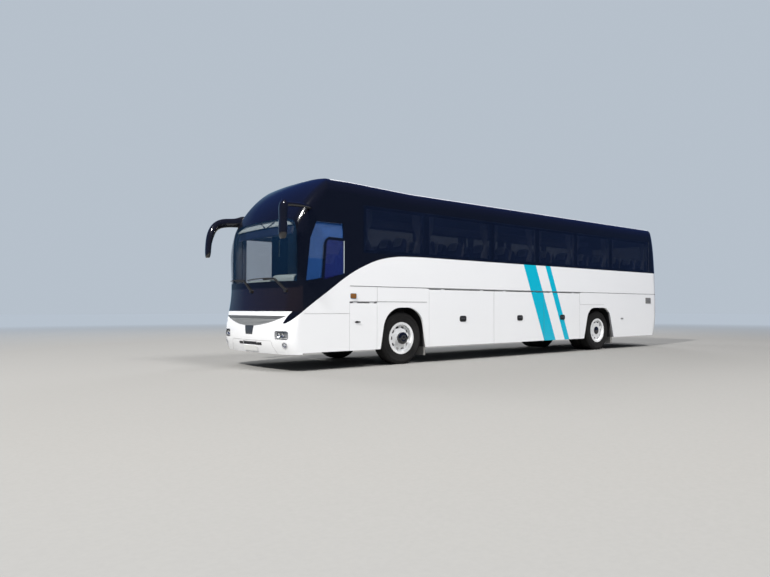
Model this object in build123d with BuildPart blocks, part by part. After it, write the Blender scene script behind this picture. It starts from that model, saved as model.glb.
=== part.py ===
from build123d import *
import math
import os

# Coach bus of the 12.8 m class, in millimetres.
# +X points forward, +Y to the left and +Z up.
# The origin is on the ground under the middle of the bus, its mirrors counted in.

os.makedirs("parts", exist_ok=True)

# Driving dimensions of the whole bus
body_length = 12800
body_width = 2550
wheelbase = 6900
front_overhang = 2680
mirror_reach = 250
skirt_height = 316
skirt_seam = 1504
roof_edge = 3400
crown_height = 3540
front_rise = 55

half_width = body_width / 2
nose_x = (body_length - mirror_reach) / 2
tail_x = nose_x - body_length
front_axle_x = nose_x - front_overhang
rear_axle_x = front_axle_x - wheelbase

# Form of the body: bowed nose, rounded corners, crowned roof
nose_bow = 8000
nose_corner = 230
tail_corner = 400
crown_bow = 7000
roof_corner = 320
roof_margin = 5
wall_reach = 600
body_top = 3700
# Columns: height, how far the nose stands back, how far the tail stands forward
body_levels = [
    (290, 55, 180),
    (460, 0, 100),
    (1100, 40, 0),
    (2100, 60, 30),
    (2600, 150, 75),
    (3000, 370, 140),
    (3280, 610, 230),
    (3480, 850, 350),
    (body_top, 1450, 700),
]
# Columns: place along the bus measured from the front axle, rise of the roof there
roof_frames = [
    (-wheelbase - 4000, 0),
    (-300, 0),
    (1200, front_rise),
    (front_overhang + 500, front_rise),
]

# Wall thicknesses and gaps
wall = 50
screen_glass = 12
pane = 8
pane_gap = 8
door_gap = 8
lid_gap = 8

# Joints between the panels, measured forward from the front axle
cap_seam = 2321
pillar_edge = 2392
dome_seam = 2182
tail_seam = -9640
bumper_top = 1050
screen_foot = 1470
screen_head = 2740

# Wheels, tyres and hubs
tyre_radius = 522
tyre_width = 294
bead_radius = 286
axle_height = 510
front_wheel_y = 1055
rear_wheel_y = 875
twin_spacing = 340
rim_wall = 18
trim_radius = 318
stub_radius = 45
shaft_gap = 0.05
kingpin_y = 900
kingpin_radius = 32
joint_gap = 5

# Wheel arches: how far the middle stands ahead of the axle, half width at the skirt and at the top
front_arch_shift = -10
front_arch_foot = 600
front_arch_head = 459
front_arch_round = 450
rear_arch_shift = 40
rear_arch_foot = 700
rear_arch_head = 475
rear_arch_round = 350
arch_top = 1120
housing_wall = 15
front_housing_half = 625
rear_housing_half = 720
housing_top = 1170
front_housing_inner = 525
axle_slot = 150
rear_housing_inner = 530

# Doors and lids, measured from the front axle: front edge, rear edge
luggage_bays = [(-674, -2661), (-2661, -4478), (-4478, -5971)]
front_door_span = (2232, 1345)
middle_door_span = (-2737, -3578)
front_door_top = 2600
middle_door_top = 2100
door_foot = 350
service_flap_span = (1323, 675)
service_flap_top = 1215
lid_half = 930
lid_foot = 820
lid_head = 1800

# Side windows: joints between panes, measured from the front axle
pane_joints = [1008, -607, -2628, -4236, -5811, -7444, -9471]
pane_foot = 2160
pane_head = 3060
pillar_half = 70
driver_window = [(1430, 1744), (1472, 2669), (2050, 2667), (2176, 2363), (2259, 1595)]

# Floors
cabin_floor = 1400
driver_floor = 1000
floor_plate = 60
bay_floor = 400
bay_plate = 30
frame_foot = 700
frame_head = 820
rail_y = 400
rail_width = 80

# Seats
seat_pitch = 790
seat_rows = 13
seat_first = 420
seat_width = 930
seat_inner_y = 240


def save(solid, name):
    """Name a finished piece and write it."""
    solid.label = name
    export_step(solid, "parts/" + name + ".step")


def bowed_end(half, bow, corner):
    """A bowed end's corner centres: distance from the middle, distance behind the tip, angle."""
    across = half - corner
    angle = math.degrees(math.asin(across / (bow - corner)))
    back = bow - (bow - corner) * math.cos(math.radians(angle))
    return across, back, angle


def level_slice(height, nose_back, tail_ahead, inset):
    """One level outline of the body, taken in by inset all round."""
    half = half_width - inset
    bow = nose_bow - inset
    corner = nose_corner - inset
    tail_round = tail_corner - inset
    tip = nose_x - nose_back - inset
    end = tail_x + tail_ahead + inset
    across, back, angle = bowed_end(half, bow, corner)
    with BuildSketch(Plane.XY.offset(height)) as level:
        with BuildLine():
            Line((end + tail_round, -half), (tip - back, -half))
            CenterArc((tip - back, -across), corner, -90, 90 - angle)
            CenterArc((tip - bow, 0), bow, -angle, 2 * angle)
            CenterArc((tip - back, across), corner, angle, 90 - angle)
            Line((tip - back, half), (end + tail_round, half))
            CenterArc((end + tail_round, half - tail_round), tail_round, 90, 90)
            Line((end, half - tail_round), (end, -half + tail_round))
            CenterArc((end + tail_round, -half + tail_round), tail_round, 180, 90)
        make_face()
    return level.sketch


def roof_frame(place, rise, inset):
    """One upright outline across the body, just wider than its walls, with a crowned roof."""
    half = half_width + roof_margin - inset
    bow = crown_bow - inset
    corner = roof_corner - inset
    tip = crown_height + rise - inset
    across, back, angle = bowed_end(half, bow, corner)
    low = body_levels[0][0] - 100
    with BuildSketch(Plane.YZ.offset(front_axle_x + place)) as frame:
        with BuildLine():
            Polyline((half, tip - back), (half, low), (-half, low), (-half, tip - back))
            CenterArc((-across, tip - back), corner, 90 + angle, 90 - angle)
            CenterArc((0, tip - bow), bow, 90 - angle, 2 * angle)
            CenterArc((across, tip - back), corner, 0, 90 - angle)
        make_face()
    return frame.sketch


def level_form(inset):
    """The body's form before its roof is crowned, taken in by inset."""
    levels = [level_slice(height, nose, tail, inset) for height, nose, tail in body_levels]
    with BuildPart() as form:
        loft(levels)
    return form.part


def body_solid(inset):
    """The whole body's outer form, taken in by inset."""
    frames = [roof_frame(place, rise, inset) for place, rise in roof_frames]
    with BuildPart() as upright:
        loft(frames, ruled=True)
    with BuildPart() as body:
        add(level_form(inset))
        add(upright.part, mode=Mode.INTERSECT)
    return body.part


def side_prism(points, near, far):
    """A prism with a side-view outline, between two distances to the left of the middle."""
    with BuildPart() as prism:
        with BuildSketch(Plane.XZ.offset(-far)):
            with BuildLine():
                Polyline(*[(front_axle_x + x, z) for x, z in points], close=True)
            make_face()
        extrude(amount=far - near)
    return prism.part


def side_box(front, rear, foot, head, near=-2000, far=2000):
    """A box given in the side view, measured from the front axle."""
    return side_prism([(front, foot), (front, head), (rear, head), (rear, foot)], near, far)


outer_form = body_solid(0)
glass_form = body_solid(screen_glass)
inner_form = body_solid(wall)
with BuildPart() as shell_part:
    add(outer_form)
    add(inner_form, mode=Mode.SUBTRACT)
shell = shell_part.part
with BuildPart() as glass_part:
    add(outer_form)
    add(glass_form, mode=Mode.SUBTRACT)
glass_shell = glass_part.part
ahead = front_overhang + 300
behind = tail_seam - 900


def hinge_plane(x, y, z, along):
    """A plane at a hinge whose x axis points up and whose z axis lies along the pin."""
    return Plane(origin=(x, y, z), x_dir=(0, 0, 1), z_dir=along)


pin_radius = 5
barrel_radius = 9
barrel_length = 60
ear_length = 20
ear_gap = 2
hinge_drop = 7
hinge_inset = 10
groove_radius = 18
ear_height = 24


def wall_hinge(x, y, z, along):
    """The fixed half of a lid's hinge: a pin held between two ears."""
    plane = hinge_plane(x, y, z, along)
    side = barrel_length / 2 + ear_gap + ear_length / 2
    with Locations(plane):
        Cylinder(pin_radius, barrel_length + 2 * ear_gap + 2 * ear_length)
        with Locations((ear_height / 2, 0, side), (ear_height / 2, 0, -side)):
            Box(ear_height, 2 * pin_radius, ear_length)


def lid_hinge(x, y, z, along, web):
    """The moving half of a lid's hinge: a barrel on a web, bored for the pin."""
    plane = hinge_plane(x, y, z, along)
    with Locations(plane):
        Cylinder(barrel_radius, barrel_length)
        with Locations((-web / 2, 0, 0)):
            Box(web, 2 * pin_radius, barrel_length)
        Cylinder(pin_radius + shaft_gap, barrel_length, mode=Mode.SUBTRACT)


# Nose: bumper, mask, windscreen and dome
lamp_y = (870, 1200)
lamp_z = (555, 705)
fog_y = 1120
fog_z = 455
fog_radius = 52
grille_top = 972
grille_foot = 783
grille_half = 1150
plate_half = 262
plate_z = (385, 500)
plate_recess = 12

with BuildPart() as lamp_prisms:
    with BuildSketch(Plane.YZ.offset(front_axle_x + cap_seam)):
        for side in (-1, 1):
            with Locations((side * sum(lamp_y) / 2, sum(lamp_z) / 2)):
                RectangleRounded(lamp_y[1] - lamp_y[0], lamp_z[1] - lamp_z[0], 40)
            with Locations((side * fog_y, fog_z)):
                Circle(fog_radius)
    extrude(amount=1000)

with BuildPart() as grille_prism:
    with BuildSketch(Plane.YZ.offset(front_axle_x + cap_seam)):
        with BuildLine():
            Line((-grille_half, grille_top), (grille_half, grille_top))
            ThreePointArc((grille_half, grille_top), (0, grille_foot), (-grille_half, grille_top))
        make_face()
    extrude(amount=1000)

with BuildPart() as bumper:
    add(shell)
    add(side_box(ahead, cap_seam, 200, bumper_top), mode=Mode.INTERSECT)
    add(lamp_prisms.part, mode=Mode.SUBTRACT)
    add(grille_prism.part, mode=Mode.SUBTRACT)
    with BuildSketch(Plane.YZ.offset(nose_x - plate_recess)):
        with Locations((0, sum(plate_z) / 2)):
            Rectangle(2 * plate_half, plate_z[1] - plate_z[0])
    extrude(amount=100, mode=Mode.SUBTRACT)
save(bumper.part, "bumper")

with BuildPart() as headlamps:
    add(shell)
    add(lamp_prisms.part, mode=Mode.INTERSECT)
save(headlamps.part, "headlamps")

# Grille: a broad top band and finer slats below it, with grooves between them
slat_first = 922
slat_pitch = 25
slat_gap = 9
slat_grooves = 6
slat_depth = 25
with BuildPart() as grooves:
    for number in range(slat_grooves):
        head = slat_first - number * slat_pitch
        add(side_box(ahead, cap_seam, head - slat_gap, head))
    with BuildPart(mode=Mode.SUBTRACT):
        add(level_slice(grille_foot - 50, 0, 0, slat_depth))
        extrude(amount=grille_top - grille_foot + 100)
with BuildPart() as grille:
    add(shell)
    add(grille_prism.part, mode=Mode.INTERSECT)
    add(grooves.part, mode=Mode.SUBTRACT)
save(grille.part, "grille")

mask_outline = [
    (cap_seam, bumper_top),
    (ahead, bumper_top),
    (ahead, screen_foot),
    (pillar_edge, screen_foot),
    (pillar_edge, skirt_seam),
    (cap_seam, skirt_seam),
]
with BuildPart() as front_mask:
    add(shell)
    add(side_prism(mask_outline, -2000, 2000), mode=Mode.INTERSECT)
save(front_mask.part, "front_mask")

with BuildPart() as windscreen:
    add(glass_shell)
    add(side_box(ahead, pillar_edge, screen_foot, screen_head), mode=Mode.INTERSECT)
save(windscreen.part, "windscreen")

with BuildPart() as front_dome:
    add(shell)
    add(side_box(ahead, dome_seam, screen_head, 4000), mode=Mode.INTERSECT)
save(front_dome.part, "front_dome")

# Roof skin, with the edge of the dome ahead of it
with BuildPart() as roof_zone:
    add(side_box(dome_seam, behind, roof_edge, 4000))
    add(side_box(dome_seam, dome_seam - 500, screen_head + 300, 4000, -wall_reach, wall_reach))
with BuildPart() as roof:
    add(shell)
    add(roof_zone.part, mode=Mode.INTERSECT)
save(roof.part, "roof")

# Cooling unit and two escape hatches on the roof
unit_front = -2300
unit_length = 2500
unit_half = 480
unit_height = 3600
unit_eave = 3545
unit_slope = 120
unit_root = 3300
hatch_places = [-800, -7200]
hatch_size = 700
hatch_round = 60
hatch_height = 3575
with BuildPart() as roof_unit:
    with BuildSketch(Plane.YZ.offset(front_axle_x + unit_front)):
        with BuildLine():
            Polyline(
                (-unit_half, unit_root),
                (-unit_half, unit_eave),
                (-unit_half + unit_slope, unit_height),
                (unit_half - unit_slope, unit_height),
                (unit_half, unit_eave),
                (unit_half, unit_root),
                close=True,
            )
        make_face()
    extrude(amount=-unit_length)
    for place in hatch_places:
        with BuildSketch(Plane.XY.offset(unit_root)):
            with Locations((front_axle_x + place, 0)):
                RectangleRounded(hatch_size, hatch_size, hatch_round)
        extrude(amount=hatch_height - unit_root)
    add(outer_form, mode=Mode.SUBTRACT)
save(roof_unit.part, "roof_unit")


def pane_spans(first=0):
    """Front and rear edges of the side panes, from the table of joints."""
    joints = pane_joints[first:]
    return [(a - pane_gap / 2, b + pane_gap / 2) for a, b in zip(joints, joints[1:])]


def hinge_places(front, rear):
    """Two hinge places along a lid, from the front axle."""
    fifth = (rear - front) / 5
    return [front + fifth, rear - fifth]


bays_front = luggage_bays[0][0]
bays_rear = luggage_bays[-1][-1]
hinge_z = skirt_seam - hinge_drop
hinge_y = half_width - hinge_inset


def upper_wall(side):
    """One upper side wall with its window openings; side is 1 on the left and -1 on the right."""
    outline = [
        (tail_seam, skirt_seam),
        (pillar_edge, skirt_seam),
        (pillar_edge, screen_head),
        (dome_seam, screen_head),
        (dome_seam, roof_edge),
        (tail_seam, roof_edge),
    ]
    near, far = sorted((side * wall_reach, side * 1400))
    with BuildPart() as upper:
        add(shell)
        add(side_prism(outline, near, far), mode=Mode.INTERSECT)
        # rebate for the flush panes
        skin = sorted((side * (half_width - pane), side * 1400))
        add(side_box(pane_joints[0], pane_joints[-1], pane_foot, pane_head, *skin), mode=Mode.SUBTRACT)
        for front, rear in pane_spans():
            opening = side_box(front - pillar_half, rear + pillar_half, pane_foot + 60, pane_head - 60)
            add(opening, mode=Mode.SUBTRACT)
        if side == 1:
            add(side_prism(driver_window, -2000, 2000), mode=Mode.SUBTRACT)
        else:
            cut = side_box(front_door_span[0] + door_gap, front_door_span[1] - door_gap,
                           0, front_door_top + door_gap)
            add(cut, mode=Mode.SUBTRACT)
            cut = side_box(middle_door_span[0] + door_gap, middle_door_span[1] - door_gap,
                           0, middle_door_top + door_gap)
            add(cut, mode=Mode.SUBTRACT)
        # shadow groove in which the luggage doors hinge
        middle = front_axle_x + (bays_front + bays_rear) / 2
        with Locations(hinge_plane(middle, side * hinge_y, hinge_z, (1, 0, 0))):
            Cylinder(groove_radius, bays_front - bays_rear + 120, mode=Mode.SUBTRACT)
        bays = luggage_bays if side == 1 else [luggage_bays[0], luggage_bays[2]]
        for front, rear in bays:
            for place in hinge_places(front, rear):
                wall_hinge(front_axle_x + place, side * hinge_y, hinge_z, (1, 0, 0))
    return upper.part


save(upper_wall(1), "left_upper_wall")
save(upper_wall(-1), "right_upper_wall")


def arch_cut(centre, foot, head, shoulder):
    """A wheel arch's opening: sides that lean in towards broad round shoulders."""
    with BuildPart() as cut:
        with BuildSketch(Plane.XZ.offset(-2000)):
            with BuildLine():
                Polyline(
                    (centre - foot, 0),
                    (centre - foot, skirt_height),
                    (centre - head, arch_top),
                    (centre + head, arch_top),
                    (centre + foot, skirt_height),
                    (centre + foot, 0),
                    close=True,
                )
            make_face()
            fillet(vertices().group_by(Axis.Y)[-1], shoulder)
        extrude(amount=4000)
    return cut.part


front_arch = arch_cut(front_axle_x + front_arch_shift, front_arch_foot, front_arch_head, front_arch_round)
rear_arch = arch_cut(rear_axle_x + rear_arch_shift, rear_arch_foot, rear_arch_head, rear_arch_round)


def lower_wall(side):
    """The fixed skirt panels of one side."""
    near, far = sorted((side * (half_width - wall), side * half_width))
    spans = [(cap_seam, luggage_bays[0][0]), (luggage_bays[2][1], tail_seam)]
    if side == -1:
        spans.append(luggage_bays[1])
    with BuildPart() as lower:
        for front, rear in spans:
            add(side_box(front, rear, skirt_height, skirt_seam, near, far))
        add(front_arch, mode=Mode.SUBTRACT)
        add(rear_arch, mode=Mode.SUBTRACT)
        if side == 1:
            front, rear = service_flap_span
            add(side_box(front, rear, 0, service_flap_top), mode=Mode.SUBTRACT)
            middle = front_axle_x + (front + rear) / 2
            with Locations(hinge_plane(middle, hinge_y, service_flap_top - hinge_drop, (1, 0, 0))):
                Cylinder(groove_radius, front - rear, mode=Mode.SUBTRACT)
            for place in hinge_places(front, rear):
                wall_hinge(front_axle_x + place, hinge_y, service_flap_top - hinge_drop, (1, 0, 0))
        else:
            for front, rear in (front_door_span, middle_door_span):
                add(side_box(front + door_gap, rear - door_gap, 0, 2000), mode=Mode.SUBTRACT)
    return lower.part


save(lower_wall(1), "left_lower_wall")
save(lower_wall(-1), "right_lower_wall")


def side_lid(front, rear, foot, head, side):
    """A flat lid in the skirt, hung from two barrels at its upper edge."""
    near, far = sorted((side * (half_width - wall), side * half_width))
    with BuildPart() as lid:
        add(side_box(front - lid_gap / 2, rear + lid_gap / 2, foot, head, near, far))
        for place in hinge_places(front, rear):
            lid_hinge(front_axle_x + place, side * hinge_y, head + hinge_drop, (1, 0, 0), 14)
    return lid.part


lid_top = skirt_seam - 2 * hinge_drop
for number, (front, rear) in enumerate(luggage_bays, start=1):
    save(side_lid(front, rear, skirt_height, lid_top, 1), "left_luggage_door_" + str(number))
for number in (1, 3):
    front, rear = luggage_bays[number - 1]
    save(side_lid(front, rear, skirt_height, lid_top, -1), "right_luggage_door_" + str(number))
front, rear = service_flap_span
save(side_lid(front, rear, skirt_height, service_flap_top - 2 * hinge_drop, 1), "service_flap")

# Passenger doors with their glass openings
door_rim = 90


def passenger_door(span, top, glass_foot):
    """A plug door's leaf on the right side, with a tall window, in the form of the wall round it."""
    front, rear = span
    with BuildPart() as leaf:
        add(shell)
        add(side_box(front, rear, door_foot, top, -2000, -wall_reach), mode=Mode.INTERSECT)
        opening = side_box(front - door_rim, rear + door_rim, glass_foot, top - door_rim)
        add(opening, mode=Mode.SUBTRACT)
    return leaf.part


front_door_glass = 1150
middle_door_glass = 1300
save(passenger_door(front_door_span, front_door_top, front_door_glass), "front_door")
save(passenger_door(middle_door_span, middle_door_top, middle_door_glass), "middle_door")

with BuildPart() as side_windows:
    for side in (-1, 1):
        skin = sorted((side * (half_width - pane), side * half_width))
        for front, rear in pane_spans():
            add(side_box(front, rear, pane_foot, pane_head, *skin))
    deep = (half_width - 30, half_width - 30 + pane)
    add(side_prism(driver_window, *deep))
    for span, foot, top in (
        (front_door_span, front_door_glass, front_door_top),
        (middle_door_span, middle_door_glass, middle_door_top),
    ):
        add(side_box(span[0] - door_rim, span[1] + door_rim, foot, top - door_rim, -deep[1], -deep[0]))
save(side_windows.part, "side_windows")

# Tail: rear wall, window, lamps and engine lid
rear_glass_half = 1000
rear_glass_z = (2250, 3000)
tail_lamp_y = (1010, 1200)
tail_lamp_z = (900, 1700)


def tail_prism(left, right, foot, head):
    """A prism through the tail, given from behind."""
    with BuildPart() as prism:
        with BuildSketch(Plane.YZ.offset(tail_x - 100)):
            with Locations(((left + right) / 2, (foot + head) / 2)):
                Rectangle(right - left, head - foot)
        extrude(amount=tail_corner + 300)
    return prism.part


rear_glass_prism = tail_prism(-rear_glass_half, rear_glass_half, *rear_glass_z)
lid_z = lid_head + hinge_drop
lid_x = tail_x + hinge_inset + 12
with BuildPart() as rear_wall:
    add(shell)
    add(side_box(tail_seam, behind, skirt_height, roof_edge), mode=Mode.INTERSECT)
    add(rear_glass_prism, mode=Mode.SUBTRACT)
    add(tail_prism(-lid_half - lid_gap, lid_half + lid_gap, lid_foot - lid_gap, lid_head + 2 * hinge_drop),
        mode=Mode.SUBTRACT)
    for side in (-1, 1):
        left, right = sorted((side * tail_lamp_y[0], side * tail_lamp_y[1]))
        add(tail_prism(left, right, *tail_lamp_z), mode=Mode.SUBTRACT)
    with Locations(hinge_plane(lid_x, 0, lid_z, (0, 1, 0))):
        Cylinder(groove_radius, 2 * lid_half + 2 * lid_gap, mode=Mode.SUBTRACT)
    for side in (-1, 1):
        wall_hinge(lid_x, side * lid_half * 0.6, lid_z, (0, 1, 0))
save(rear_wall.part, "rear_wall")

with BuildPart() as rear_window:
    add(glass_shell)
    add(rear_glass_prism, mode=Mode.INTERSECT)
save(rear_window.part, "rear_window")

with BuildPart() as tail_lamps:
    for side in (-1, 1):
        left, right = sorted((side * tail_lamp_y[0], side * tail_lamp_y[1]))
        add(tail_prism(left, right, *tail_lamp_z))
    add(shell, mode=Mode.INTERSECT)
save(tail_lamps.part, "tail_lamps")

with BuildPart() as engine_lid:
    add(shell)
    add(tail_prism(-lid_half, lid_half, lid_foot, lid_head), mode=Mode.INTERSECT)
    for side in (-1, 1):
        lid_hinge(lid_x, side * lid_half * 0.6, lid_z, (0, 1, 0), 14)
save(engine_lid.part, "engine_lid")

# Floors: saloon deck, driver's deck, riser between them and the two stair wells
deck_front = 960
deck_rear = tail_seam
deck_half = half_width - wall
driver_deck_front = cap_seam
riser = 30
front_well_y = -450
middle_well_y = -600
step_count = 3
middle_steps = 4
step_margin = 40
step_plate = 40
riser_plate = 20


def stairs(span, inner_y, top, count):
    """Steps that fall from a deck's level to a door on the right."""
    front, rear = span
    rise = (top - door_foot) / (count + 1)
    going = (deck_half + inner_y) / count
    for step in range(count):
        head = top - rise * (step + 1)
        far = inner_y - going * step
        ends = (front + step_margin, rear - step_margin)
        add(side_box(*ends, head - step_plate, head, -deck_half, far))
        add(side_box(*ends, head - step_plate, head + rise, far - riser_plate, far))


def stair_well(span, inner_y):
    """The room that a flight of stairs takes from a deck."""
    front, rear = span
    return side_box(front + step_margin, rear - step_margin, 0, 2000, -deck_half - 1, inner_y)


with BuildPart() as passenger_floor:
    add(side_box(deck_front, deck_rear, cabin_floor - floor_plate, cabin_floor, -deck_half, deck_half))
    riser_foot = driver_floor - floor_plate
    add(side_box(driver_deck_front, deck_front, riser_foot, driver_floor, -deck_half, deck_half))
    add(side_box(deck_front + riser, deck_front, riser_foot, cabin_floor, -deck_half, deck_half))
    add(stair_well(middle_door_span, middle_well_y), mode=Mode.SUBTRACT)
    add(stair_well(front_door_span, front_well_y), mode=Mode.SUBTRACT)
    stairs(middle_door_span, middle_well_y, cabin_floor, middle_steps)
    stairs(front_door_span, front_well_y, driver_floor, step_count)
save(passenger_floor.part, "passenger_floor")

# Wheel housings, open below and towards the side
with BuildPart() as wheel_housings:
    for side in (-1, 1):
        for centre, half, inner in (
            (0, front_housing_half, front_housing_inner),
            (rear_arch_shift - wheelbase, rear_housing_half, rear_housing_inner),
        ):
            near, far = sorted((side * inner, side * deck_half))
            add(side_box(centre + half, centre - half, skirt_height, housing_top, near, far))
            near, far = sorted((side * (inner + housing_wall), side * 1400))
            add(side_box(centre + half - housing_wall, centre - half + housing_wall,
                         0, housing_top - housing_wall, near, far), mode=Mode.SUBTRACT)
            axle = round(centre / wheelbase) * wheelbase
            near, far = sorted((side * (inner - 1), side * (inner + housing_wall + 1)))
            add(side_box(axle + axle_slot, axle - axle_slot, 0, axle_height + axle_slot, near, far),
                mode=Mode.SUBTRACT)
save(wheel_housings.part, "wheel_housings")

# Luggage bay: floor and the bulkheads that stand between the doors
bulkheads = [-648, -2661, -4478, -6000]
well_gap = 20
with BuildPart() as luggage_bay:
    add(side_box(bulkheads[0], bulkheads[-1], bay_floor, bay_floor + bay_plate, -deck_half, deck_half))
    for place in bulkheads:
        add(side_box(place + bay_plate / 2, place - bay_plate / 2, bay_floor,
                     cabin_floor - floor_plate, -deck_half, deck_half))
    add(stair_well(middle_door_span, middle_well_y + well_gap), mode=Mode.SUBTRACT)
save(luggage_bay.part, "luggage_bay")

# Chassis rails ahead of and behind the luggage bay, with their cross members
frame_fore = (2300, bulkheads[0] + bay_plate / 2)
frame_aft = (bulkheads[-1] - bay_plate / 2, -9900)
cross_members = [2200, 1000, -500, -6120, -7600, -9800]
fore_stands = [2200, 1000]
aft_stands = [-7600, -9800]
member_half = 50
with BuildPart() as underframe:
    for front, rear in (frame_fore, frame_aft):
        for side in (-1, 1):
            near, far = sorted((side * (rail_y - rail_width / 2), side * (rail_y + rail_width / 2)))
            add(side_box(front, rear, frame_foot, frame_head, near, far))
    for place in cross_members:
        add(side_box(place + member_half, place - member_half, frame_foot, frame_head, -rail_y, rail_y))
    for places, deck in ((fore_stands, driver_floor), (aft_stands, cabin_floor)):
        for place in places:
            add(side_box(place + member_half, place - member_half, frame_head - 1, deck - floor_plate,
                         -rail_y, rail_y))
save(underframe.part, "underframe")

# Axle beams with their air springs
beam_half = 50
eye_radius = 60
spring_radius = 110
beam_z = (axle_height - 55, axle_height + 55)
axle_tube = 95
with BuildPart() as axles:
    with Locations((front_axle_x, 0, axle_height)):
        Box(2 * beam_half, 2 * (kingpin_y - 20), beam_z[1] - beam_z[0])
    with Locations((front_axle_x, kingpin_y, axle_height), (front_axle_x, -kingpin_y, axle_height)):
        Cylinder(eye_radius, beam_z[1] - beam_z[0])
        Cylinder(kingpin_radius + shaft_gap, beam_z[1] - beam_z[0], mode=Mode.SUBTRACT)
    for side in (-1, 1):
        with BuildSketch(Plane.XY.offset(axle_height)):
            with Locations((front_axle_x, side * rail_y), (rear_axle_x, side * rail_y)):
                Circle(spring_radius)
        extrude(amount=frame_foot - axle_height)
    with BuildSketch(Plane.XZ.offset(-rear_wheel_y + 120)):
        with Locations((rear_axle_x, axle_height)):
            Circle(axle_tube)
    extrude(amount=2 * (rear_wheel_y - 120))
    with BuildSketch(Plane.XZ.offset(-rear_wheel_y - 75)):
        with Locations((rear_axle_x, axle_height)):
            Circle(stub_radius)
    extrude(amount=2 * (rear_wheel_y + 75))
    with BuildSketch(Plane.XY.offset(axle_height - 190)):
        with Locations((rear_axle_x, 0)):
            Circle(190)
    extrude(amount=380)
save(axles.part, "axles")


def knuckle(side):
    """A steering knuckle: kingpin, two arms round the beam's eye, upright and stub axle."""
    arm_reach = 70
    arm_top = axle_height + 135
    arm_foot = axle_height - 135
    with BuildPart() as part:
        with BuildSketch(Plane.XY.offset(arm_foot)):
            with Locations((front_axle_x, side * kingpin_y)):
                Circle(eye_radius)
            with Locations((front_axle_x, side * (kingpin_y + 55))):
                Rectangle(2 * eye_radius, 110)
        extrude(amount=arm_top - arm_foot)
        with Locations((front_axle_x, side * kingpin_y, axle_height)):
            Cylinder(arm_reach, beam_z[1] - beam_z[0] + 2 * joint_gap, mode=Mode.SUBTRACT)
            Cylinder(kingpin_radius, arm_top - arm_foot)
        with BuildSketch(Plane.XZ.offset(-side * (kingpin_y + 100))):
            with Locations((front_axle_x, axle_height)):
                Circle(stub_radius)
        extrude(amount=-side * (front_wheel_y + 60 - kingpin_y - 100))
    return part.part


save(knuckle(1), "left_knuckle")
save(knuckle(-1), "right_knuckle")


def revolved(points, x, y, side):
    """Turn a profile about a wheel's axle; columns: radius, distance outwards from the wheel's middle."""
    axle = Axis((x, y, axle_height), (0, 1, 0))
    with BuildSketch(Plane(origin=(x, y, axle_height), x_dir=(1, 0, 0), z_dir=(0, 0, 1))) as profile:
        with BuildLine():
            Polyline(*[(radius, side * out) for radius, out in points], close=True)
        make_face()
    with BuildPart() as solid:
        add(profile.sketch)
        revolve(axis=axle)
    return solid.part


def tyre_profile(middle):
    """Columns: radius, distance outwards."""
    half = tyre_width / 2
    return [
        (bead_radius, middle - half + 22),
        (tyre_radius - 50, middle - half),
        (tyre_radius, middle - half + 32),
        (tyre_radius, middle + half - 32),
        (tyre_radius - 50, middle + half),
        (bead_radius, middle + half - 22),
    ]


hub_radius = 148
cap_radius = 118
cap_face = 205
cap_bevel = 14
rear_cap_radius = 100
rear_cap_face = 300
rear_disc = 262
disc_wall = 14


def front_rim_profile():
    """Outline of a front wheel: barrel, lips, convex disc, hub and blind bore."""
    inner = bead_radius - rim_wall
    return [
        (stub_radius + shaft_gap, 20),
        (stub_radius + shaft_gap, 61),
        (0, 61),
        (0, cap_face),
        (cap_radius - cap_bevel, cap_face),
        (cap_radius, cap_face - cap_bevel),
        (cap_radius, 112),
        (hub_radius, 112),
        (inner, 76),
        (inner, 142),
        (trim_radius, 142),
        (trim_radius, 131),
        (bead_radius, 131),
        (bead_radius, -131),
        (trim_radius - 18, -131),
        (trim_radius - 18, -142),
        (inner, -142),
        (inner, 60),
        (hub_radius, 96),
        (hub_radius, 20),
    ]


def rear_rim_profile():
    """Outline of a twin wheel: two barrels, deep hub with blind bore, disc close behind the outer lip."""
    inner = bead_radius - rim_wall
    half = twin_spacing / 2
    return [
        (stub_radius + shaft_gap, -60),
        (stub_radius + shaft_gap, 76),
        (0, 76),
        (0, rear_cap_face),
        (rear_cap_radius - cap_bevel, rear_cap_face),
        (rear_cap_radius, rear_cap_face - cap_bevel),
        (rear_cap_radius, rear_disc + disc_wall),
        (inner, rear_disc + disc_wall),
        (inner, half + 142),
        (trim_radius, half + 142),
        (trim_radius, half + 131),
        (bead_radius, half + 131),
        (bead_radius, -half - 131),
        (trim_radius - 18, -half - 131),
        (trim_radius - 18, -half - 142),
        (inner, -half - 142),
        (inner, rear_disc),
        (hub_radius, rear_disc - disc_wall),
        (hub_radius, -60),
    ]


slot_count = 10
slot_ring = 218
slot_length = 74
slot_width = 40
slot_depth = 420


def rim(name, x, side, wheel_y, profile):
    """A rim with its ring of oval hand holes."""
    solid = revolved(profile, x, side * wheel_y, side)
    with BuildPart() as part:
        add(solid)
        plane = Plane(origin=(x, side * (wheel_y - 70), axle_height), x_dir=(1, 0, 0), z_dir=(0, side, 0))
        with BuildSketch(plane):
            with PolarLocations(slot_ring, slot_count):
                SlotOverall(slot_length, slot_width, rotation=90)
        extrude(amount=slot_depth, mode=Mode.SUBTRACT)
    save(part.part, name)


for word, side in (("left", 1), ("right", -1)):
    save(revolved(tyre_profile(0), front_axle_x, side * front_wheel_y, side), "front_" + word + "_tyre")
    rim("front_" + word + "_rim", front_axle_x, side, front_wheel_y, front_rim_profile())
    with BuildPart() as twins:
        for middle in (-twin_spacing / 2, twin_spacing / 2):
            add(revolved(tyre_profile(middle), rear_axle_x, side * rear_wheel_y, side))
    save(twins.part, "rear_" + word + "_tyres")
    rim("rear_" + word + "_rim", rear_axle_x, side, rear_wheel_y, rear_rim_profile())

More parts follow.
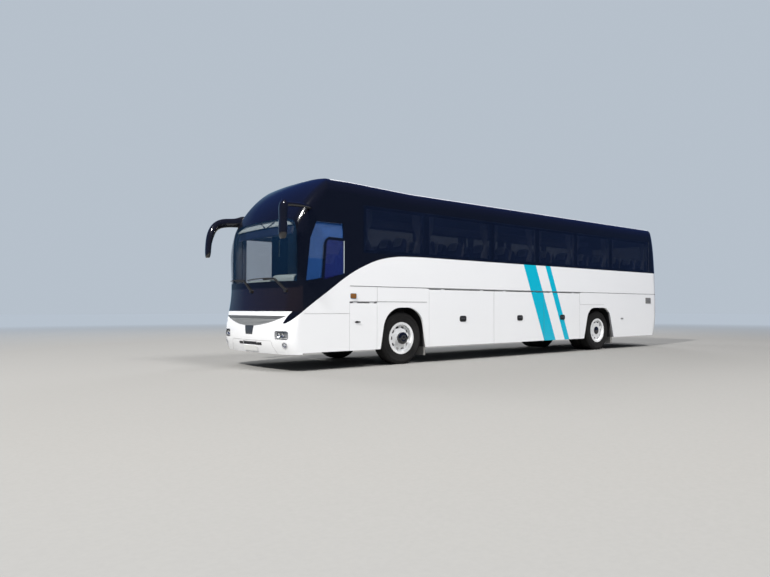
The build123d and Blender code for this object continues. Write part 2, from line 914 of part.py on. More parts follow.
# Mud flaps behind each wheel
flap_thickness = 8
with BuildPart() as mudflaps:
    for side in (-1, 1):
        near, far = sorted((side * 880, side * 1200))
        for place in (-front_housing_half, rear_arch_shift - wheelbase - rear_housing_half):
            add(side_box(place, place - flap_thickness, 140, 700, near, far))
save(mudflaps.part, "mudflaps")

# Engine block behind the rear axle, between the rails
with BuildPart() as engine:
    add(side_box(-8000, -9400, 450, 1230, -rail_y + rail_width / 2, rail_y - rail_width / 2))
save(engine.part, "engine")

# Dashboard, steering wheel and driver's seat
dash_top = 1500
dash_depth = 420
driver_y = 620
wheel_x = 2150
wheel_z = 1600
wheel_ring = 225
wheel_rake = 30
column_radius = 25
column_gap = 0.5
column_length = 330
rake = math.radians(wheel_rake)
column_axis = (-math.sin(rake), 0, math.cos(rake))
column_plane = Plane(origin=(front_axle_x + wheel_x, driver_y, wheel_z), x_dir=(0, 1, 0), z_dir=column_axis)
with BuildPart() as dashboard:
    add(inner_form)
    add(side_box(ahead, cap_seam + 30, driver_floor, dash_top), mode=Mode.INTERSECT)
    with BuildSketch(Plane.XZ.offset(-driver_y - 350)):
        with BuildLine():
            Polyline(
                (front_axle_x + cap_seam + 31, driver_floor + 200),
                (front_axle_x + cap_seam - 100, driver_floor + 320),
                (front_axle_x + cap_seam - 60, dash_top + 60),
                (front_axle_x + cap_seam + 31, dash_top + 100),
                (front_axle_x + cap_seam + 160, dash_top),
                (front_axle_x + cap_seam + 160, driver_floor + 200),
                close=True,
            )
        make_face()
    extrude(amount=700)
    with BuildSketch(column_plane):
        Circle(column_radius + column_gap)
    extrude(amount=-column_length - joint_gap, mode=Mode.SUBTRACT)
save(dashboard.part, "dashboard")

with BuildPart() as steering_wheel:
    with BuildSketch(column_plane.offset(-12)):
        Circle(wheel_ring)
        Circle(wheel_ring - 28, mode=Mode.SUBTRACT)
        Rectangle(2 * wheel_ring - 40, 40)
        Circle(60)
    extrude(amount=24)
    with BuildSketch(column_plane.offset(-12)):
        Circle(column_radius)
    extrude(amount=-column_length + 12)
save(steering_wheel.part, "steering_wheel")


def seat_outline(front, floor, cushion, back_top):
    """Side view of a seat from its front edge: plinth, cushion and raked back."""
    return [
        (front - 120, floor),
        (front - 60, floor + cushion - 130),
        (front, floor + cushion - 110),
        (front + 10, floor + cushion),
        (front - 430, floor + cushion - 40),
        (front - 560, floor + back_top),
        (front - 660, floor + back_top - 20),
        (front - 560, floor + cushion - 160),
        (front - 420, floor + cushion - 170),
        (front - 380, floor),
    ]


with BuildPart() as driver_seat:
    add(side_prism(seat_outline(1850, driver_floor, 470, 1180), driver_y - 250, driver_y + 250))
save(driver_seat.part, "driver_seat")


def seat_row(side):
    """The double seats of one side; the right side leaves room at the middle stairs."""
    near, far = sorted((side * seat_inner_y, side * (seat_inner_y + seat_width)))
    with BuildPart() as seats:
        for number in range(seat_rows):
            front = seat_first - number * seat_pitch
            over_stairs = side == -1 and middle_door_span[1] - 60 < front < middle_door_span[0] + 760
            if not over_stairs:
                add(side_prism(seat_outline(front, cabin_floor, 450, 1150), near, far))
    return seats.part


save(seat_row(1), "left_seats")
save(seat_row(-1), "right_seats")

# Overhead racks along both sides
rack_outer = half_width - wall
with BuildPart() as luggage_racks:
    for side in (-1, 1):
        with BuildSketch(Plane.YZ.offset(front_axle_x + 1000)):
            with BuildLine():
                Polyline(
                    (side * rack_outer, 3050),
                    (side * rack_outer, 3140),
                    (side * (rack_outer - 60), 3140),
                    (side * (rack_outer - 420), 3190),
                    (side * (rack_outer - 450), 3160),
                    (side * (rack_outer - 400), 3090),
                    close=True,
                )
            make_face()
        extrude(amount=-10450)
save(luggage_racks.part, "luggage_racks")

# Mirrors. The kerb side has one hooked arm that turns into the mirror head.
# Columns: forward of the front axle, out from the middle, height, thickness, width across
mirror_y = 1430
mirror_width = 200
hook_sections = [
    (2130, 1200, 2868, 190, 90),
    (2330, 1330, 2860, 190, 90),
    (2560, 1405, 2838, 180, 105),
    (2715, mirror_y, 2765, 165, 145),
    (2805, mirror_y, 2640, 145, 185),
    (2860, mirror_y, 2450, 115, mirror_width),
    (2878, mirror_y, 2250, 100, 190),
    (2884, mirror_y, 2120, 60, 130),
]
# The driver's side has a slim arm and an upright head; the same columns
arm_sections = [
    (2130, 1200, 2905, 80, 80),
    (2330, 1340, 2905, 80, 80),
    (2580, 1420, 2895, 80, 85),
    (2800, mirror_y, 2880, 80, 90),
]
head_sections = [
    (2800, mirror_y, 2945, 60, 120),
    (2806, mirror_y, 2895, 120, 180),
    (2814, mirror_y, 2740, 135, mirror_width),
    (2820, mirror_y, 2480, 130, mirror_width),
    (2820, mirror_y, 2335, 105, 180),
    (2820, mirror_y, 2285, 60, 130),
]


def oval_loft(sections, side):
    """A smooth body through ovals set square to their middle line; side is 1 on the left."""
    middles = [Vector(front_axle_x + x, side * out, z) for x, out, z, thickness, width in sections]
    ovals = []
    for number, (x, out, z, thickness, width) in enumerate(sections):
        before = middles[max(number - 1, 0)]
        after = middles[min(number + 1, len(middles) - 1)]
        run = after - before
        square = Plane(origin=middles[number], x_dir=run.cross(Vector(0, 1, 0)), z_dir=run)
        with BuildSketch(square) as oval:
            Ellipse(thickness / 2, width / 2)
        ovals.append(oval.sketch)
    with BuildPart() as form:
        loft(ovals)
    return form.part


with BuildPart() as mirrors:
    add(oval_loft(hook_sections, -1))
    add(oval_loft(arm_sections, 1))
    add(oval_loft(head_sections, 1))
    add(outer_form, mode=Mode.SUBTRACT)
save(mirrors.part, "mirrors")

# Wipers lying just off the screen
wiper_depth = 26
with BuildPart() as wipers:
    for side_y in (1050, -100):
        with BuildSketch(Plane.YZ.offset(front_axle_x + cap_seam)):
            with BuildLine() as arm_line:
                Polyline((side_y, 1420), (side_y - 330, 1640), (side_y - 640, 1630))
            trace(line_width=28)
            with Locations((side_y, 1420)):
                Circle(35)
        extrude(amount=1000)
    add(level_form(-wiper_depth), mode=Mode.INTERSECT)
    add(outer_form, mode=Mode.SUBTRACT)
save(wipers.part, "wipers")
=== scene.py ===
"""A long-distance coach in a plain studio. Lengths are in metres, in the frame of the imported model."""

import math

import bmesh
import bpy
from mathutils import Matrix, Vector
from mathutils.bvhtree import BVHTree


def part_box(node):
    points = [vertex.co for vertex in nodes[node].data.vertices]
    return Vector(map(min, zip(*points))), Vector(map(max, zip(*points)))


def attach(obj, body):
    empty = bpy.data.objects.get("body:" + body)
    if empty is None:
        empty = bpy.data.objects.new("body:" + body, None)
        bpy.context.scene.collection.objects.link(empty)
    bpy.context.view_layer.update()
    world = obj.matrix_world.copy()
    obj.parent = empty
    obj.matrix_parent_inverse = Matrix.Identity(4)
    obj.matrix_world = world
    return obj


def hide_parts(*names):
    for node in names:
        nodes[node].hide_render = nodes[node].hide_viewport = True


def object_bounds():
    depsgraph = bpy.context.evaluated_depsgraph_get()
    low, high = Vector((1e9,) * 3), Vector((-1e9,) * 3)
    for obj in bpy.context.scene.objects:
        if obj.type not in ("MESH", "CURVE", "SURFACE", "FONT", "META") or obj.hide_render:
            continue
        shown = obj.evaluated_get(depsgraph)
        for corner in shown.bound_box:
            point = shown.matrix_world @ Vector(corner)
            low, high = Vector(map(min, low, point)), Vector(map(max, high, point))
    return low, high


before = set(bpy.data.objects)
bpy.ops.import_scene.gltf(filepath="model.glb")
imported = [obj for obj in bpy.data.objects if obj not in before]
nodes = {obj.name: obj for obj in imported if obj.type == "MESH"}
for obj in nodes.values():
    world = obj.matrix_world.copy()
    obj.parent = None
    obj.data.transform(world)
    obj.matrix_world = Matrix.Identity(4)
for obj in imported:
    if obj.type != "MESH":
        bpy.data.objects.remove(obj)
cad_low, cad_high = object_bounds()

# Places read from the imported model


def middle(node):
    low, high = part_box(node)
    return (low + high) / 2


front_tyre = middle("front_left_tyre")
rear_tyres = middle("rear_left_tyres")
front_axle = front_tyre.x
rear_axle = rear_tyres.x
axle_z = front_tyre.z
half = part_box("left_luggage_door_2")[1].y
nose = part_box("bumper")[1].x
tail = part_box("rear_wall")[0].x
floor_z = cad_low.z
sides = (("left", 1), ("right", -1))


def solids(name):
    """The lowest and highest corner of every separate solid of a node, from front to rear."""
    mesh = bmesh.new()
    mesh.from_mesh(nodes[name].data)
    bmesh.ops.remove_doubles(mesh, verts=mesh.verts, dist=1e-5)
    found = []
    left = set(mesh.verts)
    while left:
        island = [left.pop()]
        for vert in island:
            near = {v for edge in vert.link_edges for v in edge.verts} & left
            left -= near
            island += near
        low = Vector(min(vert.co[k] for vert in island) for k in range(3))
        high = Vector(max(vert.co[k] for vert in island) for k in range(3))
        found.append((low, high))
    mesh.free()
    return sorted(found, key=lambda box: (-box[1].x, box[0].y))


def skin_of(*names):
    """A tree of the surfaces of some nodes, to lay things on."""
    joined = bmesh.new()
    for name in names:
        joined.from_mesh(nodes[name].data)
    tree = BVHTree.FromBMesh(joined)
    joined.free()
    return tree


nose_skin = skin_of("bumper", "front_mask", "windscreen", "front_dome", "headlamps", "grille", "roof",
                    "left_upper_wall", "right_upper_wall")
tail_skin = skin_of("rear_wall", "engine_lid", "tail_lamps", "rear_window")
roof_skin = skin_of("roof", "roof_unit")


def hit(tree, start, toward):
    """The first place on a surface along a direction, with the normal that faces the start."""
    place, normal, _, _ = tree.ray_cast(Vector(start), Vector(toward))
    return place, -normal if normal.dot(Vector(toward)) > 0 else normal


def on_nose(y, z):
    return hit(nose_skin, (nose + 1, y, z), (-1, 0, 0))


def on_tail(y, z):
    return hit(tail_skin, (tail - 1, y, z), (1, 0, 0))


def on_roof(ahead, y):
    return hit(roof_skin, (front_axle + ahead, y, cad_high.z + 1), (0, 0, -1))


def laid(finder, corners, step):
    """Places and normals along a run of corners, each found by the finder from the corner's values."""
    found = []
    for first, second in zip(corners, corners[1:]):
        count = max(1, round(math.dist(first, second) / step))
        for k in range(count):
            found.append(finder(*(a + (b - a) * (k / count) for a, b in zip(first, second))))
    found.append(finder(*corners[-1]))
    return found


# Materials

finish = {}


class Nodes:
    """The nodes of a material or of the world, in the making."""

    def __init__(self, owner):
        owner.use_nodes = True
        self.tree = owner.node_tree
        self.coords = self.node("ShaderNodeTexCoord").outputs

    def node(self, kind, **settings):
        made = self.tree.nodes.new(kind)
        for key, value in settings.items():
            setattr(made, key, value)
        return made

    def feed(self, socket, value):
        if isinstance(value, bpy.types.NodeSocket):
            self.tree.links.new(value, socket)
        else:
            socket.default_value = value

    def math(self, operation, *values, clamp=False):
        made = self.node("ShaderNodeMath", operation=operation, use_clamp=clamp)
        for socket, value in zip(made.inputs, values):
            self.feed(socket, value)
        return made.outputs[0]

    def ramp(self, value, **limits):
        made = self.node("ShaderNodeMapRange", clamp=True)
        self.feed(made.inputs["Value"], value)
        for key, limit in limits.items():
            made.inputs[key.replace("_", " ")].default_value = limit
        return made.outputs["Result"]

    def above(self, value, limit, edge=0.0015):
        """1 where a value is above a limit and 0 below, with a narrow ramp between."""
        return self.ramp(self.math("SUBTRACT", value, limit), From_Min=-edge, From_Max=edge)

    def flip(self, value):
        return self.math("SUBTRACT", 1.0, value)

    def both(self, a, b):
        return self.math("MULTIPLY", a, b)

    def either(self, a, b):
        return self.math("MAXIMUM", a, b)

    def span(self, factor, low, high):
        return self.ramp(factor, To_Min=low, To_Max=high)

    def noise(self, scale, detail=3.0):
        made = self.node("ShaderNodeTexNoise")
        made.inputs["Scale"].default_value = scale
        made.inputs["Detail"].default_value = detail
        self.feed(made.inputs["Vector"], self.coords["Object"])
        return made.outputs["Fac"]

    def mix(self, factor, first, second):
        made = self.node("ShaderNodeMix", data_type="RGBA")
        self.feed(made.inputs["Factor"], factor)
        for socket, colour in zip(made.inputs[6:8], (first, second)):
            self.feed(socket, colour if isinstance(colour, bpy.types.NodeSocket) else (*colour, 1))
        return made.outputs[2]

    def blend(self, factor, first, second):
        made = self.node("ShaderNodeMix", data_type="FLOAT")
        for place, value in ((0, factor), (2, first), (3, second)):
            self.feed(made.inputs[place], value)
        return made.outputs[0]

    def split(self, coords):
        made = self.node("ShaderNodeSeparateXYZ")
        self.feed(made.inputs[0], self.coords[coords])
        return made.outputs


class Finish(Nodes):
    """A material in the making, with its one Principled shader."""

    def __init__(self, name):
        finish[name] = bpy.data.materials.new(name)
        super().__init__(finish[name])
        self.shader = self.tree.nodes["Principled BSDF"]

    def set(self, **values):
        """Set sockets of the shader; an underscore in a name stands for a space."""
        for key, value in values.items():
            if key in ("Base_Color", "Emission_Color") and not isinstance(value, bpy.types.NodeSocket):
                value = (*value, 1)
            self.feed(self.shader.inputs[key.replace("_", " ")], value)

    def bump(self, height, distance, strength=1.0):
        made = self.node("ShaderNodeBump")
        made.inputs["Strength"].default_value = strength
        made.inputs["Distance"].default_value = distance
        self.feed(made.inputs["Height"], height)
        self.feed(self.shader.inputs["Normal"], made.outputs["Normal"])


def varied(colour, share):
    return [max(0, c * (1 - share)) for c in colour], [min(1, c * (1 + share)) for c in colour]


def coat(weight, rough):
    return {"Coat_Weight": weight, "Coat_Roughness": rough}


def surface(name, colour, rough, vary, patch, grain=0.0, grain_scale=400.0, **settings):
    """An even surface with slight changes of colour and gloss, and a fine grain in its relief."""
    made = Finish(name)
    patches = made.noise(patch, 4.0)
    made.set(Base_Color=made.mix(patches, *varied(colour, vary)))
    made.set(Roughness=made.span(made.noise(patch * 3, 5.0), rough * 0.85, min(1, rough * 1.15)), **settings)
    if grain:
        made.bump(made.noise(grain_scale, 4.0), grain)


WHITE = (0.8, 0.81, 0.83)
ROOF_WHITE = (0.74, 0.75, 0.77)
BLACK = (0.004, 0.0045, 0.007)
LINING = (0.16, 0.165, 0.18)
TURQUOISE = (0.0, 0.43, 0.6)
KERB_TINT = (0.04, 0.12, 0.18)
KERB_ALPHA = 0.2

# Lower edge of the black field on the side: distance ahead of the front axle, height
swoosh = [(-1.0, 2.144), (-0.084, 2.135), (0.194, 2.118), (0.624, 2.04), (0.953, 1.919), (1.294, 1.749),
          (1.8, 1.412), (2.325, 1.048), (2.595, 0.838)]
# The field's front edge on the bumper runs from its tip up to the mask's corner: across, height
spear_tip = (1.082, 0.838)
spear_root = (1.219, 1.052)
# The white cap of the roof: height of its lower edge, its rise at the front, where it ends over the dome
roof_line = 3.432
roof_rise = 0.055
cap_front = 1.65
# Two slanted bands on the side: place of the middle at mid height, width across
bands = [(-4.32, 0.46), (-5.02, 0.2)]
band_slant = 0.42
band_mid_height = 1.25
# Foot of the grille's broad top band
GRILLE_BAND = 0.922


def coachwork():
    """White body paint with the black field, the slanted bands and a grey inside."""
    made = Finish("coach_paint")
    x, y, z = made.split("Object")
    across = made.math("ABSOLUTE", y)
    ahead = made.math("SUBTRACT", x, front_axle)

    # height of the field's edge
    first, last = swoosh[0][0], swoosh[-1][0]
    low, high = 0.5, 2.5
    along = made.math("DIVIDE", made.math("SUBTRACT", ahead, first), last - first, clamp=True)
    curve = made.node("ShaderNodeFloatCurve")
    points = curve.mapping.curves[0].points
    places = [((px - first) / (last - first), (pz - low) / (high - low)) for px, pz in swoosh]
    points[0].location = places[0]
    points[-1].location = places[-1]
    for place in places[1:-1]:
        points.new(*place)
    curve.mapping.update()
    made.feed(curve.inputs["Value"], along)
    black = made.above(z, made.math("MULTIPLY_ADD", curve.outputs[0], high - low, low))

    # front edge of the spear on the bumper
    lean = (spear_root[0] - spear_tip[0]) / (spear_root[1] - spear_tip[1])
    line = made.math("MULTIPLY_ADD", made.math("SUBTRACT", z, spear_tip[1]), lean, spear_tip[0])
    black = made.both(black, made.either(made.above(across, line), made.above(z, spear_root[1])))

    # the roof's white cap
    run = made.math("DIVIDE", made.math("ADD", ahead, 0.3), 1.5, clamp=True)
    capped = made.above(z, made.math("MULTIPLY_ADD", run, roof_rise, roof_line))
    capped = made.both(capped, made.flip(made.above(ahead, cap_front)))
    black = made.both(black, made.flip(capped))

    # slanted bands on the flanks, below the field
    leaned = made.math("MULTIPLY_ADD", made.math("SUBTRACT", z, band_mid_height), -band_slant, ahead)
    found = []
    for place, width in bands:
        away = made.math("ABSOLUTE", made.math("SUBTRACT", leaned, place))
        found.append(made.flip(made.above(away, width / 2)))
    band = made.both(made.either(*found), made.above(across, half - 0.012))

    # faces that look inwards
    face = made.split("Normal")
    outward = made.both(face[0], made.both(x, 0.2))
    outward = made.math("ADD", outward, made.both(face[1], y))
    outward = made.math("ADD", outward, made.both(face[2], made.math("SUBTRACT", z, 1.8)))
    inside = made.math("LESS_THAN", outward, -0.02)

    mottle = made.noise(0.9)
    colour = made.mix(mottle, *varied(WHITE, 0.015))
    for share, tint in ((capped, ROOF_WHITE), (band, TURQUOISE), (black, BLACK), (inside, LINING)):
        colour = made.mix(share, colour, tint)
    rough = made.blend(black, made.span(mottle, 0.2, 0.26), 0.12)
    made.set(Base_Color=colour, Roughness=made.blend(inside, rough, 0.65), **coat(0.2, 0.05))
    made.bump(made.noise(9.0, 2.0), 0.0004, 0.35)


def glazing(name, tint, alpha, clear_ahead=None, clear_alpha=0.0, clear_tint=BLACK):
    """Glass that lets light straight through, lighter ahead of clear_ahead and most of all on the right."""
    made = Finish(name)
    waves = made.noise(1.2, 2.0)
    colour = made.mix(waves, *varied(tint, 0.25))
    through = made.span(waves, alpha - 0.02, alpha + 0.02)
    if clear_ahead is not None:
        x, y, _ = made.split("Object")
        fore = made.above(x, clear_ahead)
        kerb = made.both(fore, made.flip(made.above(y, 0.0)))
        colour = made.mix(kerb, made.mix(fore, colour, clear_tint), KERB_TINT)
        through = made.blend(kerb, made.blend(fore, through, clear_alpha), KERB_ALPHA)
    made.set(Base_Color=colour, Alpha=through, Roughness=0.02, IOR=1.5)
    made.bump(made.noise(2.2, 1.0), 0.002, 0.12)


def screen_glazing():
    """The windscreen: clear glass with a black printed border."""
    made = Finish("screen_glass")
    x, _, z = made.split("Object")
    low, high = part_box("windscreen")
    border = made.flip(made.above(z, low.z + 0.115, 0.004))
    border = made.either(border, made.above(z, high.z - 0.012, 0.004))
    border = made.either(border, made.flip(made.above(x, low.x + 0.035, 0.004)))
    waves = made.noise(1.0, 2.0)
    colour = made.mix(border, made.mix(waves, (0.006, 0.024, 0.058), (0.009, 0.032, 0.074)), BLACK)
    through = made.blend(border, made.span(waves, 0.2, 0.24), 1.0)
    made.set(Base_Color=colour, Alpha=through, Roughness=0.02, IOR=1.5)
    made.bump(made.noise(1.4, 1.0), 0.002, 0.1)


def grille_finish():
    """Satin grey slats under a darker top band."""
    made = Finish("grille_grey")
    top = made.above(made.split("Object")[2], GRILLE_BAND)
    patches = made.noise(6.0)
    slats = made.mix(patches, *varied((0.34, 0.35, 0.35), 0.06))
    made.set(Base_Color=made.mix(top, slats, (0.12, 0.125, 0.125)))
    made.set(Roughness=made.span(patches, 0.36, 0.44), Metallic=0.25)
    made.bump(made.noise(900.0), 0.0003)


def tail_lens():
    """The tail lamps: clear below, then amber, then red, with dark joints between."""
    made = Finish("tail_lens")
    z = made.split("Object")[2]
    low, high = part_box("tail_lamps")
    facets = made.noise(90.0, 2.0)
    colour = made.mix(facets, *varied((0.6, 0.61, 0.62), 0.08))
    for share, tint in ((0.24, (0.62, 0.22, 0.02)), (0.46, (0.45, 0.008, 0.008))):
        joint = low.z + (high.z - low.z) * share
        colour = made.mix(made.above(z, joint), colour, tint)
        near = made.math("ABSOLUTE", made.math("SUBTRACT", z, joint))
        colour = made.mix(made.above(near, 0.006), (0.01, 0.01, 0.01), colour)
    made.set(Base_Color=colour, Roughness=made.span(facets, 0.08, 0.14), Coat_Weight=0.6)
    made.bump(facets, 0.0012)


def woven(name, first, second, rough=0.8, sheen=0.2):
    """Cloth: crossing threads in relief, flecks of a second colour and a soft sheen."""
    made = Finish(name)
    threads = []
    for direction in ("X", "Z"):
        wave = made.node("ShaderNodeTexWave", bands_direction=direction)
        wave.inputs["Scale"].default_value = 45.0
        wave.inputs["Distortion"].default_value = 0.6
        made.feed(wave.inputs["Vector"], made.coords["Object"])
        threads.append(wave.outputs["Fac"])
    flecks = made.both(made.noise(60.0, 4.0), made.noise(4.0, 2.0))
    made.set(Base_Color=made.mix(made.span(flecks, 0.0, 1.0), first, second))
    made.set(Roughness=made.span(made.noise(12.0), rough - 0.08, min(1, rough + 0.08)))
    made.set(Sheen_Weight=sheen, Sheen_Roughness=0.4)
    made.bump(made.math("ADD", *threads), 0.0008, 0.6)


def polished(name, colour, rough):
    """Bare bright metal with fine marks."""
    made = Finish(name)
    marks = made.noise(40.0, 6.0)
    made.set(Base_Color=made.mix(marks, *varied(colour, 0.12)))
    made.set(Roughness=made.span(marks, rough * 0.7, rough * 1.3), Metallic=1.0)
    made.bump(marks, 0.0003)


# Columns: name, colour, roughness, change of the colour, scale of its patches, depth and scale of the grain
even = [
    ("gloss_black", BLACK, 0.08, 0.3, 0.8, coat(0.8, 0.03)),
    ("mask_black", (0.01, 0.007, 0.006), 0.1, 0.3, 0.8, coat(0.8, 0.04)),
    ("roof_paint", ROOF_WHITE, 0.3, 0.02, 1.0, coat(0.4, 0.06)),
    ("tab_grey", (0.035, 0.042, 0.05), 0.35, 0.1, 1.5, 0.0003, 900),
    ("black_plastic", (0.012, 0.012, 0.013), 0.5, 0.15, 1.5, 0.0006, 900),
    ("mirror_shell", (0.006, 0.006, 0.008), 0.13, 0.2, 1.5, coat(0.6, 0.05)),
    ("rubber", (0.01, 0.01, 0.011), 0.75, 0.2, 1.5, 0.0005, 500),
    ("tyre_rubber", (0.016, 0.0155, 0.015), 0.82, 0.35, 3.0, 0.0012, 260, {"Specular_IOR_Level": 0.3}),
    ("wheel_white", (0.78, 0.79, 0.8), 0.28, 0.05, 6.0, 0.0002, 160, coat(0.4, 0.1)),
    ("chassis_paint", (0.018, 0.018, 0.019), 0.6, 0.4, 4.0, 0.001, 90),
    ("cast_iron", (0.05, 0.048, 0.046), 0.62, 0.3, 5.0, 0.002, 120, {"Metallic": 0.6}),
    ("bay_liner", (0.05, 0.05, 0.053), 0.8, 0.2, 1.5, 0.001, 200),
    ("cabin_lining", (0.27, 0.28, 0.3), 0.7, 0.06, 1.5, 0.0006, 400),
    ("flooring", (0.045, 0.048, 0.055), 0.6, 0.35, 120.0, 0.0004, 600),
    ("dash_skin", (0.2, 0.205, 0.215), 0.6, 0.08, 1.5, 0.0008, 500),
    ("dark_dash", (0.02, 0.02, 0.022), 0.5, 0.15, 1.5, 0.0006, 600),
    ("seat_shell", (0.3, 0.31, 0.34), 0.45, 0.05, 1.5, 0.0004, 600),
    ("mud_flap", (0.22, 0.22, 0.215), 0.8, 0.25, 5.0, 0.001, 150),
    # dark grey of the side lines: painted shadow under the mouldings and painted shade in the grooves
    ("seam_grey", (0.1, 0.1, 0.105), 0.7, 0.2, 1.5),
    ("seam_light", (0.36, 0.36, 0.365), 0.7, 0.15, 1.5),
    ("bezel", (0.06, 0.055, 0.05), 0.5, 0.2, 1.5, 0.0004, 700),
    ("vent_grey", (0.24, 0.245, 0.25), 0.5, 0.1, 1.5, 0.0004, 700),
    ("lever_grey", (0.055, 0.055, 0.06), 0.35, 0.2, 1.5, 0.0004, 700),
    ("marker_brown", (0.2, 0.085, 0.022), 0.15, 0.3, 30.0, 0.001, 140),
    ("red_lens", (0.42, 0.008, 0.008), 0.1, 0.15, 20.0, 0.0012, 120, {"Coat_Weight": 0.6}),
    ("white_lens", (0.65, 0.66, 0.68), 0.1, 0.1, 20.0, 0.001, 140, {"Coat_Weight": 0.6}),
    ("plate_blank", (0.74, 0.75, 0.74), 0.35, 0.03, 1.5, 0.0002, 400),
    ("mirror_glass", (0.75, 0.77, 0.8), 0.03, 0.02, 1.5, {"Metallic": 1.0}),
    ("lamp_silver", (0.45, 0.46, 0.48), 0.35, 0.1, 8.0, {"Metallic": 0.5}),
    ("header_grey", (0.44, 0.5, 0.5), 0.6, 0.05, 1.5, 0.0004, 500),
    ("cowl_grey", (0.33, 0.39, 0.38), 0.6, 0.08, 1.5, 0.0008, 400),
    ("post_lining", (0.01, 0.016, 0.075), 0.6, 0.15, 1.5, 0.0005, 500),
    ("visor_navy", (0.004, 0.008, 0.035), 0.6, 0.1, 1.5, 0.0004, 500),
]
for row in even:
    settings = row[-1] if isinstance(row[-1], dict) else {}
    surface(*(value for value in row if value is not settings), **settings)
coachwork()
screen_glazing()
grille_finish()
tail_lens()
glazing("tinted_glass", (0.006, 0.01, 0.026), 0.6, front_axle + 1.36, 0.42, (0.03, 0.11, 0.36))
glazing("tail_glass", (0.006, 0.009, 0.02), 0.72)
glazing("lamp_cover", (0.1, 0.12, 0.14), 0.16)
glazing("sliding_glass", (0.012, 0.014, 0.1), 0.62)
polished("reflector", (0.85, 0.86, 0.88), 0.08)
woven("seat_cloth", (0.012, 0.02, 0.075), (0.05, 0.07, 0.17), 0.85, 0.4)
woven("head_cloth", (0.5, 0.56, 0.6), (0.62, 0.68, 0.72))
woven("curtain_cloth", (0.3, 0.33, 0.38), (0.4, 0.43, 0.48), sheen=0.3)

node_finish = {
    "front_mask": "mask_black",
    "windscreen": "screen_glass",
    "side_windows": "tinted_glass",
    "rear_window": "tail_glass",
    "headlamps": "lamp_cover",
    "grille": "grille_grey",
    "roof_unit": "roof_paint",
    "mirrors": "mirror_shell",
    "wipers": "black_plastic",
    "tail_lamps": "tail_lens",
    "mudflaps": "mud_flap",
    "wheel_housings": "bay_liner",
    "luggage_bay": "bay_liner",
    "passenger_floor": "flooring",
    "luggage_racks": "cabin_lining",
    "underframe": "chassis_paint",
    "axles": "chassis_paint",
    "left_knuckle": "cast_iron",
    "right_knuckle": "cast_iron",
    "engine": "cast_iron",
    "dashboard": "dash_skin",
    "steering_wheel": "dark_dash",
}
for name, node in nodes.items():
    chosen = "wheel_white" if name.endswith("_rim") else node_finish.get(name, "coach_paint")
    node.data.materials.clear()
    node.data.materials.append(finish[chosen])


# Making pieces


def show(thing):
    bpy.context.scene.collection.objects.link(thing)


def facing(axis):
    """The turn that brings the z axis onto an axis."""
    return Vector(axis).to_track_quat("Z", "Y").to_matrix()


def circle(radius, sides, along=0.0):
    """Places around the z axis; radius 0 gives one point."""
    angles = [2 * math.pi * k / sides for k in range(sides if radius else 1)]
    return [Vector((radius * math.cos(angle), radius * math.sin(angle), along)) for angle in angles]


def courses(points):
    """The direction of a run of points at each of them."""
    last = len(points) - 1
    return [points[min(k + 1, last)] - points[max(k - 1, 0)] for k in range(last + 1)]


